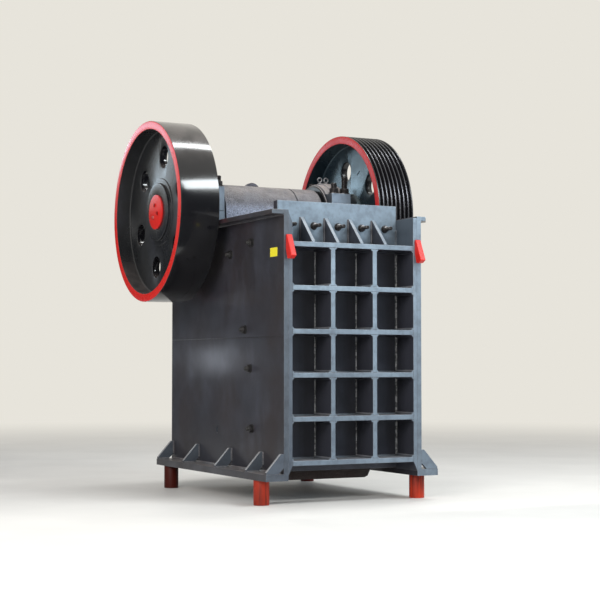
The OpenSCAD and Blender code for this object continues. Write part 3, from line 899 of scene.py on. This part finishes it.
class CRUSHER_OT_bearings(bpy.types.Operator):
    """Finish the bearing housings with their seals and eye bolts"""

    bl_idname = "crusher.bearings"
    bl_label = "Bearings"

    def execute(self, context):
        edge = context.scene.crusher_sizes.casting_edge / MM
        shoulder = CAP_SHOULDER + 0.5
        for side in ("left", "right"):
            node, name = f"bearing_saddle_{side}", f"{side}_bearing_saddle"
            rounded_copy(node, name, edge * 0.6, "Housing paint", segments=3)
            node, name = f"bearing_cap_{side}", f"{side}_bearing_cap"
            cap = rounded_copy(node, name, edge * 0.8, "Housing paint", segments=3)
            bisect(cap, shoulder)
            repaint(cap, "Cap casting", lambda face: face.center.z > shoulder * MM)
        seal_outline = rounded([
            (151, 502, 1), (206, 502, 2), (215, 511, 2), (215, 522, 2), (310, 522, 4), (322, 527, 3),
            (322, 536, 2), (306, 538, 1), (306, 545, 0), (151, 545, 1),
        ], 2)
        cover_outline = rounded([
            (151, 747, 1), (232, 747, 2), (232, 765, 4), (224, 771, 3), (176, 771, 3), (170, 760, 2),
            (151, 760, 1),
        ], 2)
        centre = at(0, SHAFT_Y, SHAFT_Z)
        rings = [lathe("seal", seal_outline, centre, "X", 96), lathe("cover", cover_outline, centre, "X", 72)]
        right = joined("right_seal_rings", rings)
        smooth(right)
        left = mirrored(right, "left_seal_rings")
        for piece in (right, left):
            give(piece, "frame", "Cap casting", ("seal_rings",))
            # Ring ends and the back of each rim get the dark web paint; at the rim's back it is painted shade
            # in the recess
            repaint(piece, "Web black", lambda face: (
                abs(face.normal.x) > 0.8 and abs(face.center.x) < 0.6 or 0.5365 < abs(face.center.x) < 0.6
            ))
        self.eye_bolts()
        return {"FINISHED"}

    def eye_bolts(self):
        """Two small eye bolts on top of each bearing cap."""
        eye_x, gap = 612, 68
        top = at(eye_x, SHAFT_Y, CAP_TOP)
        bpy.ops.mesh.primitive_torus_add(
            major_radius=0.021, minor_radius=0.006, major_segments=32, minor_segments=10,
            location=top + Vector((0, 0, 0.034)), rotation=(math.radians(90), 0, 0),
        )
        eye = named("eye")
        settle(eye)
        outline = rounded([(0, -4, 0), (17, -4, 1), (17, 5, 2), (9, 9, 2), (8, 16, 1), (0, 16, 0)])
        collar = lathe("collar", outline, top, "Z", 24)
        point_outwards(collar)
        first = joined("eye_bolt_1", [eye, collar])
        smooth(first, 50)
        give(first, "frame", "Eye steel")
        for number, shift in enumerate((gap, -2 * eye_x - gap, -2 * eye_x), 2):
            piece = copied(first, f"eye_bolt_{number}", Matrix.Translation((shift * MM, 0, 0)))
            give(piece, "frame", "Eye steel")


class CRUSHER_OT_bolts(bpy.types.Operator):
    """Make the washers, nuts and threaded studs"""

    bl_idname = "crusher.bolts"
    bl_label = "Bolts and nuts"

    def bolt(self, name, nut_r, nut_h, stud_r, stud_h, washer=6):
        """Washer, chamfered hexagon nut and threaded stud, standing up from the origin."""
        zero = Vector((0, 0, 0))
        ring = nut_r * 1.12
        outline = rounded([(0, 0, 0), (ring, 0, 0), (ring, washer, 2), (0, washer, 0)])
        plate = lathe("washer", outline, zero, "Z", 32)
        point_outwards(plate)
        nut = rod_start("nut", nut_r, nut_h - washer, Vector((0, 0, (nut_h + washer) / 2 * MM)), 6)
        cone = lathe("cone", [
            (nut_r * 0.86, nut_h + 1), (nut_r * 1.3, nut_h - nut_r * 0.18), (nut_r * 1.6, nut_h + 3),
            (nut_r * 0.86, nut_h + 3),
        ], zero, "Z", 36)
        cut_away(nut, [cone])
        round_edges(nut, 1.2, 2, 40)
        outline = [(0, washer), (stud_r, washer)]
        z = nut_h + 2
        while z < stud_h - 6:
            outline += [(stud_r, z), (stud_r * 0.88, z + 2.5), (stud_r, z + 5)]
            z += 6
        outline += [(stud_r, stud_h - 4), (stud_r - 4, stud_h), (0, stud_h)]
        stud = lathe("stud", outline, zero, "Z", 20)
        point_outwards(stud)
        whole = joined(name, [plate, nut, stud])
        smooth(whole, 35)
        return whole

    def execute(self, context):
        wall = self.bolt("wall_bolt", 29, 26, 16, 112)
        for number in range(1, 6):
            turn = turned(90, "X") @ turned(11 * number, "Z")
            place = Matrix.Translation(at((number - 3) * BOLT_PITCH, WALL_Y, RIB_TOP + 158)) @ turn
            piece = copied(wall, f"wall_bolt_{number}", place)
            give(piece, "frame", "Bolt steel", ("wall_bolts",))
        side = self.bolt("side_bolt", 34, 30, 18, 56)
        spots = [(596, 2160), (1017, 2086), (730, 1432), (630, 1103), (589, 603)]
        for number, (y, z) in enumerate(spots, 1):
            for word, sign in SIDES:
                turn = turned(90 * sign, "Y") @ turned(17 * number, "Z")
                place = Matrix.Translation(at(sign * SIDE_X, y, z)) @ turn
                piece = copied(side, f"{word}_side_bolt_{number}", place)
                give(piece, "frame", "Dark bolt steel", ("side_bolts",))
        short, tall = (
            self.bolt(name, 46, 48, 28, height, 8)
            for name, height in (("short_cap_bolt", 98), ("tall_cap_bolt", 160))
        )
        for word, sign in SIDES:
            for end, dy in (("front", -318), ("rear", 318)):
                for kind, source, x in (("inner", short, 590.5), ("outer", tall, 701.5)):
                    spot = at(sign * x, SHAFT_Y + dy, CAP_SHOULDER)
                    # Each nut stands at an angle of its own
                    place = Matrix.Translation(spot) @ turned(x + dy, "Z")
                    piece = copied(source, f"{word}_{end}_{kind}_cap_bolt", place)
                    give(piece, "frame", "Bolt steel", ("cap_bolts",))
        drop(wall, side, short, tall)
        return {"FINISHED"}


class CRUSHER_OT_welds(bpy.types.Operator):
    """Lay the weld beads of the frame"""

    bl_idname = "crusher.welds"
    bl_label = "Weld beads"

    ripples = 20

    def bead_start(self):
        """Straight bead of unit length along z, with its corner on the z axis and ripples along it."""
        bpy.ops.mesh.primitive_cylinder_add(vertices=5, radius=1, depth=1, location=(0, 0, 0.5))
        piece = named("bead")
        settle(piece)
        section = [(0, 0), (1, 0), (0.74, 0.42), (0.42, 0.74), (0, 1)]
        verts = piece.data.vertices
        ring = sorted((v for v in verts if v.co.z < 0.5), key=lambda v: math.atan2(v.co.y, v.co.x))
        for spot, low in zip(section, ring):
            high = next(v for v in verts if v.co.z > 0.5 and (v.co - low.co).to_2d().length < 1e-4)
            for vertex in (high, low):
                vertex.co = (*spot, vertex.co.z)
        open_mesh(piece, "EDGE", lambda e: abs(verts[e.vertices[0]].co.z - verts[e.vertices[1]].co.z) > 0.5)
        bpy.ops.mesh.subdivide(number_cuts=2 * self.ripples - 1)
        close_mesh()
        step = 0.5 / self.ripples
        open_mesh(piece, "VERT", lambda v: round(v.co.z / step) % 2 == 0)
        bpy.ops.transform.resize(value=(0.78, 0.78, 1), center_override=(0, 0, 0))
        close_mesh()
        return piece

    def lay(self, start, end, first, second, factor=1.0):
        """Bead from start to end whose two legs lie along first and second."""
        start, end = at(*start), at(*end)
        line = end - start
        pieces = max(1, round(line.length / (self.ripples * self.pitch)))
        a = Vector(first).normalized() * self.leg * factor
        b = Vector(second).normalized() * self.leg * factor
        c = line / pieces
        place = Matrix(((a.x, b.x, c.x, 0), (a.y, b.y, c.y, 0), (a.z, b.z, c.z, 0), (0, 0, 0, 1)))
        return [copied(self.bead, "run", Matrix.Translation(start + c * k) @ place) for k in range(pieces)]

    def cell_beads(self):
        """Beads at the right of each cell in pale metal as painted glints, and beads in its other corners
        painted over.
        """
        bright, painted_over = [], []
        half = MID_RIB_T / 2
        forward = (0, -1, 0)
        cells = [
            (-WALL_X, -RIB_X - half, 0.6), (-RIB_X + half, RIB_X - half, 0.6), (RIB_X + half, WALL_X, 0.95),
        ]
        for row in range(1, 6):
            low = RIB_TOP - row * RIB_PITCH
            high = low + RIB_PITCH - RIB_T
            for left, right, wide in cells:
                bright += self.lay((right, WALL_Y, low), (right, WALL_Y, high), (-1, 0, 0), forward, wide)
                painted_over += self.lay((left, WALL_Y, low), (left, WALL_Y, high), (1, 0, 0), forward)
                for z, up in ((low, 1), (high, -1)):
                    painted_over += self.lay((left, WALL_Y, z), (right, WALL_Y, z), (0, 0, up), forward, 0.8)
                for x, way in ((left, 1), (right, -1)):
                    for z, up in ((low, 1), (high, -1)):
                        painted_over += self.lay((x, 2, z), (x, WALL_Y, z), (way, 0, 0), (0, 0, up), 1.5)
        for way in (1, -1):
            x = -way * WALL_X
            painted_over += self.lay((x, WALL_Y, RIB_TOP), (x, WALL_Y, RIB_TOP + 150), (way, 0, 0), forward)
        bottom = RIB_TOP - 5 * RIB_PITCH - RIB_T
        painted_over += self.lay((-WALL_X, WALL_Y, bottom), (WALL_X, WALL_Y, bottom), (0, 0, -1), forward)
        return bright, painted_over

    def gusset_beads(self):
        """Beads beside the four gussets above the top rib, up the wall and along the rib."""
        half, height, front = 15, 226, 72
        beads = []
        for k in (-1.5, -0.5, 0.5, 1.5):
            for way in (-1, 1):
                x = k * BOLT_PITCH + way * half
                foot = (x, WALL_Y, RIB_TOP)
                beads += self.lay(foot, (x, WALL_Y, RIB_TOP + height), (way, 0, 0), (0, -1, 0), 0.8)
                beads += self.lay((x, front, RIB_TOP), foot, (way, 0, 0), (0, 0, 1), 0.8)
        return beads

    def side_beads(self):
        """Beads along the base flange and its gussets, and under the top flange."""
        foot_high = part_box("base_flanges")[1]
        foot_top = foot_high.z / MM
        foot_end = (foot_high.y - FRONT_Y) / MM
        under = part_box("top_flanges")[0].z / MM
        flange_end, thickness = 1372, 30
        beads = []
        for sign in (-1, 1):
            x = sign * SIDE_X
            out = (sign, 0, 0)
            beads += self.lay((x, 35, foot_top), (x, foot_end - 35, foot_top), out, (0, 0, 1))
            beads += self.lay((x, 4, under), (x, flange_end, under), out, (0, 0, -1), 0.8)
            for gusset in (0, 376, 991, 1685, 2283):
                for y, way in ((gusset, -1), (gusset + thickness, 1)):
                    if y == 0 or y > foot_end - 2:
                        continue
                    side = (0, way, 0)
                    beads += self.lay((x, y, foot_top + 50), (x, y, foot_top + 158), out, side, 0.8)
                    near, far = x + sign * 50, x + sign * 152
                    beads += self.lay((near, y, foot_top), (far, y, foot_top), (0, 0, 1), side, 0.8)
        return beads

    def seams(self):
        """Flat seam across each side plate, where its two halves meet."""
        z, end = 1362, 2329
        beads = []
        for sign in (-1, 1):
            x = sign * SIDE_X
            beads += self.lay((x, 6, z), (x, end, z), (0, 0, 1), (sign * 0.2, 0, 0), 0.3)
        return beads

    def rear_beads(self):
        """Beads above and under the ribs of the rear wall."""
        wall_back = (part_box("rear_wall")[1].y - FRONT_Y) / MM
        lowest, pitch, thickness = 480, 431, 36
        x = SIDE_IN - 4
        beads = []
        for i in range(5):
            for z, up in ((lowest + i * pitch + thickness, 1), (lowest + i * pitch, -1)):
                beads += self.lay((-x, wall_back, z), (x, wall_back, z), (0, 0, up), (0, 1, 0))
        return beads

    def execute(self, context):
        sizes = context.scene.crusher_sizes
        self.leg, self.pitch = sizes.weld_leg, sizes.weld_pitch
        self.bead = self.bead_start()
        bright, painted_over = self.cell_beads()
        for name, beads, paint in (
            ("glinting_weld_beads", bright, "Glinting weld bead"), ("cell_corner_beads", painted_over, "Front paint"),
            # Painted shade: the beads beside the top gussets get the paint without painted light
            ("top_gusset_beads", self.gusset_beads(), "Shaded cell paint"),
            ("side_weld_beads", self.side_beads(), "Charcoal paint"),
            ("side_seams", self.seams(), "Dark bolt steel"),
            ("rear_weld_beads", self.rear_beads(), "Charcoal paint"),
        ):
            piece = joined(name, beads)
            point_outwards(piece)
            smooth(piece, 60)
            give(piece, "frame", paint)
        drop(self.bead)
        return {"FINISHED"}


class CRUSHER_OT_wheels(bpy.types.Operator):
    """Turn the flywheel, the grooved sheave, the shaft and the hub covers"""

    bl_idname = "crusher.wheels"
    bl_label = "Wheels and shaft"

    def wheel(self, name, outside, steps, first):
        """Rim, web and hub turned as one, on the right side of the machine; first turns the six holes."""
        rim_in = WHEEL_R - RING_W + 2
        bore, hub, boss, web_in, web_out = 131, 240, 305, 150, 224
        hole_r, hole_x, hole_ring = 97, (web_in + web_out) / 2, 497
        outline = rounded([
            (bore, 14, 2), (hub, 14, 8), (hub, web_in - 24, 16), (hub + 24, web_in, 16),
            (rim_in, web_in, 20), (rim_in, 0, 4),
            *outside,
            (rim_in, WHEEL_W, 4), (rim_in, web_out, 20), (boss, web_out, 3), (boss, web_out + 8, 4),
            (260, web_out + 8, 4), (260, 256, 8), (bore, 256, 2),
        ])
        centre = at(WHEEL_X, SHAFT_Y, SHAFT_Z)
        piece = lathe(name, outline, centre, "X", steps)
        middles = [on_circle(centre, hole_x, hole_ring, first + 60 * i) for i in range(6)]
        quarter = math.radians(90)
        cut_away(piece, [rod_start("hole_tool", hole_r, 200, spot, 64, (0, quarter, 0)) for spot in middles])
        verts = piece.data.vertices

        def on_hole_edge(edge):
            one, other = (verts[i].co for i in edge.vertices)
            return abs(one.x - other.x) < 1e-5 and any(
                all(abs((end - middle).yz.length - hole_r * MM) < 0.0006 for end in (one, other))
                for middle in middles
            )

        open_mesh(piece, "EDGE", on_hole_edge)
        bpy.ops.mesh.bevel(offset=0.006, segments=2, affect="EDGES")
        close_mesh()
        smooth(piece, 30)
        return piece

    def colour_wheel(self, piece, lands):
        """Black paints with red rings on both rim ends, and bare lands between the belt grooves."""
        mesh = piece.data
        mesh.materials.clear()
        paints = ("Black gloss", "Red paint", "Land steel", "Web black")
        if lands:
            paints = ("Groove black", "Sheave red", "Land steel", "Bluish sheave web")
        for paint in paints:
            mesh.materials.append(bpy.data.materials[paint])
        centre = at(0, SHAFT_Y, SHAFT_Z)
        low = min(v.co.x for v in mesh.vertices)
        high = max(v.co.x for v in mesh.vertices)
        for face in mesh.polygons:
            radius = (face.center - centre).yz.length / MM
            end = min(face.center.x - low, high - face.center.x)
            if radius > WHEEL_R - RING_W and end < 0.003 and abs(face.normal.x) > 0.8:
                face.material_index = 1
            elif lands and radius > WHEEL_R - 3 and end > 0.006:
                face.material_index = 2
            elif radius < WHEEL_R - 70 and not (390 < radius < 600 and abs(face.normal.x) < 0.1):
                face.material_index = 3

    def execute(self, context):
        steps = context.scene.crusher_sizes.wheel_steps
        flywheel = self.wheel("flywheel_right", [(WHEEL_R, 0, 6), (WHEEL_R, WHEEL_W, 6)], steps, 10)
        left_wheel = mirrored(flywheel, "flywheel")
        drop(flywheel)
        pitch, count = 43.5, 8
        edge = (WHEEL_W - pitch * count) / 2
        grooves = [(WHEEL_R, 0, 3)]
        for i in range(count):
            grooves += [
                (WHEEL_R, edge + (i + 0.11) * pitch, 2.5), (WHEEL_R - 34, edge + (i + 0.31) * pitch, 3),
                (WHEEL_R - 34, edge + (i + 0.69) * pitch, 3), (WHEEL_R, edge + (i + 0.89) * pitch, 2.5),
            ]
        grooves.append((WHEEL_R, WHEEL_W, 3))
        sheave = self.wheel("sheave", grooves, steps, -10)
        slot = box_start("slot_tool", (936, 1552, 2948), (956, 1608, 2962))
        only(slot)
        bpy.ops.transform.rotate(value=math.radians(35), orient_axis="X", center_override=at(944, 1580, 2955))
        settle(slot)
        cut_away(sheave, [slot])
        give(left_wheel, "rotor", None, ("flywheel_rim", "flywheel_web", "flywheel_hub"))
        give(sheave, "rotor", None, ("sheave_rim", "sheave_web", "sheave_hub"))
        self.colour_wheel(left_wheel, False)
        self.colour_wheel(sheave, True)
        rounded_copy("eccentric_shaft", "shaft", 4, "Machined steel")
        self.hub_covers()
        return {"FINISHED"}

    def hub_covers(self):
        """Red cover on each shaft end with three recessed bolt heads."""
        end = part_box("eccentric_shaft")[1].x / MM
        centre = at(end, SHAFT_Y, SHAFT_Z)
        outline = rounded([(0, 0, 0), (155, 0, 1), (155, 14, 4), (0, 14, 0)])
        cover = lathe("right_hub_cover", outline, centre, "X", 72)
        point_outwards(cover)
        smooth(cover)
        bolts = []
        for angle in (-15, 105, 225):
            spot = on_circle(centre, 18.5, 64, angle)
            bolt = rod_start("cover_bolt", 18, 9, spot, 6, (math.radians(angle), math.radians(90), 0))
            outer = max(v.co.x for v in bolt.data.vertices)
            open_mesh(bolt, "FACE", lambda f: abs(f.normal.x) > 0.9 and f.center.x > outer - 0.0005)
            bpy.ops.mesh.inset(thickness=0.004)
            bpy.ops.transform.translate(value=(-0.003, 0, 0))
            close_mesh()
            round_edges(bolt, 1, 2)
            bolts.append(bolt)
        heads = joined("right_cover_bolts", bolts)
        smooth(heads)
        for piece, name, paint in (
            (cover, "left_hub_cover", "Red paint"), (heads, "left_cover_bolts", "Dark red paint")
        ):
            give(mirrored(piece, name), "rotor", paint, ("hub_caps",))
            give(piece, "rotor", paint, ("hub_caps",))


class CRUSHER_OT_swing_jaw(bpy.types.Operator):
    """Finish the swing jaw casting and its toothed liner"""

    bl_idname = "crusher.swing_jaw"
    bl_label = "Swing jaw"

    def execute(self, context):
        edge = context.scene.crusher_sizes.casting_edge / MM
        throw = 15
        crank = at(0, SHAFT_Y, SHAFT_Z - throw)
        seam = lathe("seam_tool", [(286, 238), (310, 238), (310, 250), (286, 250)], crank, "X", 96)
        rounded_copy("swing_jaw", "swing_jaw_casting", edge * 0.6, "Jaw casting", cuts=(seam,))
        rounded_copy("jaw_ribs", "swing_jaw_ribs", edge * 0.5, "Jaw casting")
        rounded_copy("swing_jaw_plate", "swing_jaw_liner", 7, "Liner steel", segments=3)
        rounded_copy("swing_jaw_clamp", "swing_jaw_wedge", 5, "Charcoal paint")
        return {"FINISHED"}


class CRUSHER_OT_tension_rods(bpy.types.Operator):
    """Make the tension rods with their coil springs"""

    bl_idname = "crusher.tension_rods"
    bl_label = "Tension rods"

    def execute(self, context):
        sizes = context.scene.crusher_sizes
        rounded_copy("tension_rods", "tension_rod_set", 2.5, "Machined steel")
        low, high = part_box("springs")
        middle_z = (low.z + high.z) / 2
        radius = (high.z - low.z) / 2 - sizes.wire
        run = high.y - low.y - 2 * sizes.wire
        for side, x in (("left", -0.3), ("right", 0.3)):
            bpy.ops.mesh.primitive_circle_add(
                vertices=12, radius=sizes.wire, fill_type="NOTHING", location=(radius, 0, 0),
                rotation=(math.radians(90), 0, 0),
            )
            coil = named(f"{side}_spring")
            settle(coil)
            finish_with(
                coil, "SCREW", axis="Z", screw_offset=run / sizes.spring_turns, iterations=sizes.spring_turns,
                steps=28, render_steps=28, use_smooth_shade=True, use_merge_vertices=True,
            )
            open_mesh(coil)
            bpy.ops.mesh.fill_holes(sides=0)
            bpy.ops.mesh.select_all(action="SELECT")
            bpy.ops.mesh.normals_make_consistent(inside=False)
            close_mesh()
            coil.data.transform(Matrix.Translation((x, low.y + sizes.wire, middle_z)) @ turned(-90, "X"))
            smooth(coil, 50)
            give(coil, "frame", "Spring paint", ("springs",))
        return {"FINISHED"}


class CRUSHER_OT_studio(bpy.types.Operator):
    """Set up the floor, lamps, background and camera"""

    bl_idname = "crusher.studio"
    bl_label = "Studio"

    def lamp(self, name, place, target, size, power, tint, reflected=True, turn=0):
        """Rectangular soft lamp that looks at the target, or straight down and turned where there is none."""
        data = bpy.data.lights.new(name, "AREA")
        data.shape = "RECTANGLE"
        data.size, data.size_y = size
        data.energy = power
        data.color = tint
        light = bpy.data.objects.new(name, data)
        light.location = place
        light.rotation_euler.z = math.radians(turn)
        if target:
            light.rotation_euler = (Vector(target) - Vector(place)).to_track_quat("-Z", "Y").to_euler()
        light.visible_camera = False
        light.visible_glossy = reflected
        bpy.context.scene.collection.objects.link(light)

    def dark_cards(self):
        """Dark cards behind, before and on the floor before the machine that only reflections show."""
        shader = new_material("Dark card")[1]
        shader.inputs["Base Color"].default_value = (0.02, 0.02, 0.022, 1)
        shader.inputs["Roughness"].default_value = 0.9
        for name, place, size, tilt, turn in (
            ("rear_dark_card", (-4.4, 6.2, 1.65), (9.0, 3.3), 90, 27),
            ("front_dark_card", (5.6, -13.5, 4.2), (9.0, 8.4), 90, 0),
            ("floor_dark_card", (3.2, -7.6, 0.02), (8.6, 11.0), 0, 0),
        ):
            aim = (math.radians(tilt), 0, math.radians(turn))
            bpy.ops.mesh.primitive_plane_add(size=1, location=place, rotation=aim)
            card = named(name)
            card.scale = (*size, 1)
            settle(card)
            card.data.materials.append(bpy.data.materials["Dark card"])
            for rays in ("camera", "diffuse", "shadow", "transmission"):
                setattr(card, f"visible_{rays}", False)

    def world(self, background):
        world = bpy.data.worlds.new("Pale room")
        bpy.context.scene.world = world
        world.use_nodes = True
        tree = Tree(world.node_tree)
        shown = tree.nodes["Background"]
        fill = tree.add("ShaderNodeBackground")
        for light, tint, strength in ((shown, (*background, 1), 1.0), (fill, (0.92, 0.96, 1.0, 1), 0.34)):
            light.inputs["Color"].default_value = tint
            light.inputs["Strength"].default_value = strength
        tree.mix_shaders(tree.shown_rays(), fill, shown, "World Output")

    def floor(self, colours):
        """Pale floor that keeps the shadow near the machine and fades into the background far from it."""
        bpy.ops.mesh.primitive_circle_add(vertices=96, radius=60, fill_type="NGON", location=(0, 0, 0))
        floor = named("studio_floor")
        tree, shader = new_material("Pale floor")
        where = tree.where()
        cloud = tree.ramp(tree.noise(where, 0.9, 5.0), 0.3, 0.7)
        shades = shade(colours.floor), shade(colours.floor, 0.93)
        tree.link(tree.mix(cloud, *shades), shader.inputs["Base Color"])
        shader.inputs["Roughness"].default_value = 0.55
        glow = tree.add("ShaderNodeEmission")
        glow.inputs["Color"].default_value = (*colours.background, 1)
        far = tree.ramp(tree.vector_math("LENGTH", where), 4.5, 17.0)
        tree.mix_shaders(tree.product(far, tree.shown_rays()), shader, glow, "Material Output")
        floor.data.materials.append(bpy.data.materials["Pale floor"])

    def execute(self, context):
        colours = context.scene.crusher_colours
        self.floor(colours)
        self.world(colours.background)
        self.dark_cards()
        self.lamp("left_light", (-9.0, -7.5, 5.5), (-0.4, -0.4, 1.6), (6.0, 5.0), 950, (1.0, 0.99, 0.97))
        self.lamp("door_light", (4.7, -9.4, 2.1), (0, -1, 1.6), (4.6, 4.0), 450, (0.72, 0.87, 1.0), False)
        self.lamp("high_light", (3.2, -7.0, 7.1), (-0.9, 0, 2.9), (5.0, 1.7), 575, (0.90, 0.97, 1.0))
        self.lamp("top_light", (1.53, -0.1, 8.6), None, (6.0, 0.8), 275, (0.97, 1.0, 1.0), turn=18)
        for name, place, target, size, power, tint in (
            ("glint_light", (-3.305, 6.01, 1.20), (-0.65, 0.10, 1.19), (0.34, 0.30), 2.8, (0.80, 0.87, 1.0)),
            ("rear_window", (-2.9, 6.05, 4.24), (-0.3, 0.38, 3.2), (3.0, 0.75), 21, (0.70, 0.86, 1.0)),
            ("sheave_window", (-2.35, 6.05, 3.87), (0.94, 0.4, 2.95), (0.7, 0.5), 5, (0.62, 0.83, 1.0)),
        ):
            self.lamp(name, place, target, size, power, tint)
        data = bpy.data.cameras.new("photo_camera")
        data.sensor_fit = "HORIZONTAL"
        data.sensor_width = 36
        data.lens = 88.67
        data.clip_end = 200
        camera = bpy.data.objects.new("photo_camera", data)
        camera.location = (-6.0052, -11.8092, 1.1506)
        camera.rotation_euler = (math.radians(92.438), 0, math.radians(-27.463))
        context.scene.collection.objects.link(camera)
        context.scene.camera = camera
        context.scene.view_settings.view_transform = "Standard"
        return {"FINISHED"}


STEPS = (
    CRUSHER_OT_paints, CRUSHER_OT_side_plates, CRUSHER_OT_front, CRUSHER_OT_rear, CRUSHER_OT_posts,
    CRUSHER_OT_bearings, CRUSHER_OT_bolts, CRUSHER_OT_welds, CRUSHER_OT_wheels, CRUSHER_OT_swing_jaw,
    CRUSHER_OT_tension_rods, CRUSHER_OT_studio,
)


class CRUSHER_PT_panel(bpy.types.Panel):
    """Lists the steps that build the crusher"""

    bl_idname = "CRUSHER_PT_panel"
    bl_label = "Jaw crusher"
    bl_space_type = "VIEW_3D"
    bl_region_type = "UI"
    bl_category = "Crusher"

    def draw(self, context):
        layout = self.layout
        for group in (context.scene.crusher_sizes, context.scene.crusher_colours):
            box = layout.box()
            for key in group.__annotations__:
                box.prop(group, key)
        for step in STEPS:
            layout.operator(step.bl_idname)


CLASSES = (CrusherSizes, CrusherColours, *STEPS, CRUSHER_PT_panel)


def register():
    for each in CLASSES:
        bpy.utils.register_class(each)
    bpy.types.Scene.crusher_sizes = bpy.props.PointerProperty(type=CrusherSizes)
    bpy.types.Scene.crusher_colours = bpy.props.PointerProperty(type=CrusherColours)


def unregister():
    del bpy.types.Scene.crusher_colours
    del bpy.types.Scene.crusher_sizes
    for each in reversed(CLASSES):
        bpy.utils.unregister_class(each)


def main():
    register()
    crusher = bpy.ops.crusher
    crusher.paints()
    crusher.side_plates()
    crusher.front()
    crusher.rear()
    crusher.posts()
    crusher.bearings()
    crusher.bolts()
    crusher.welds()
    crusher.wheels()
    crusher.swing_jaw()
    crusher.tension_rods()
    crusher.studio()


if __name__ == "__main__":
    main()
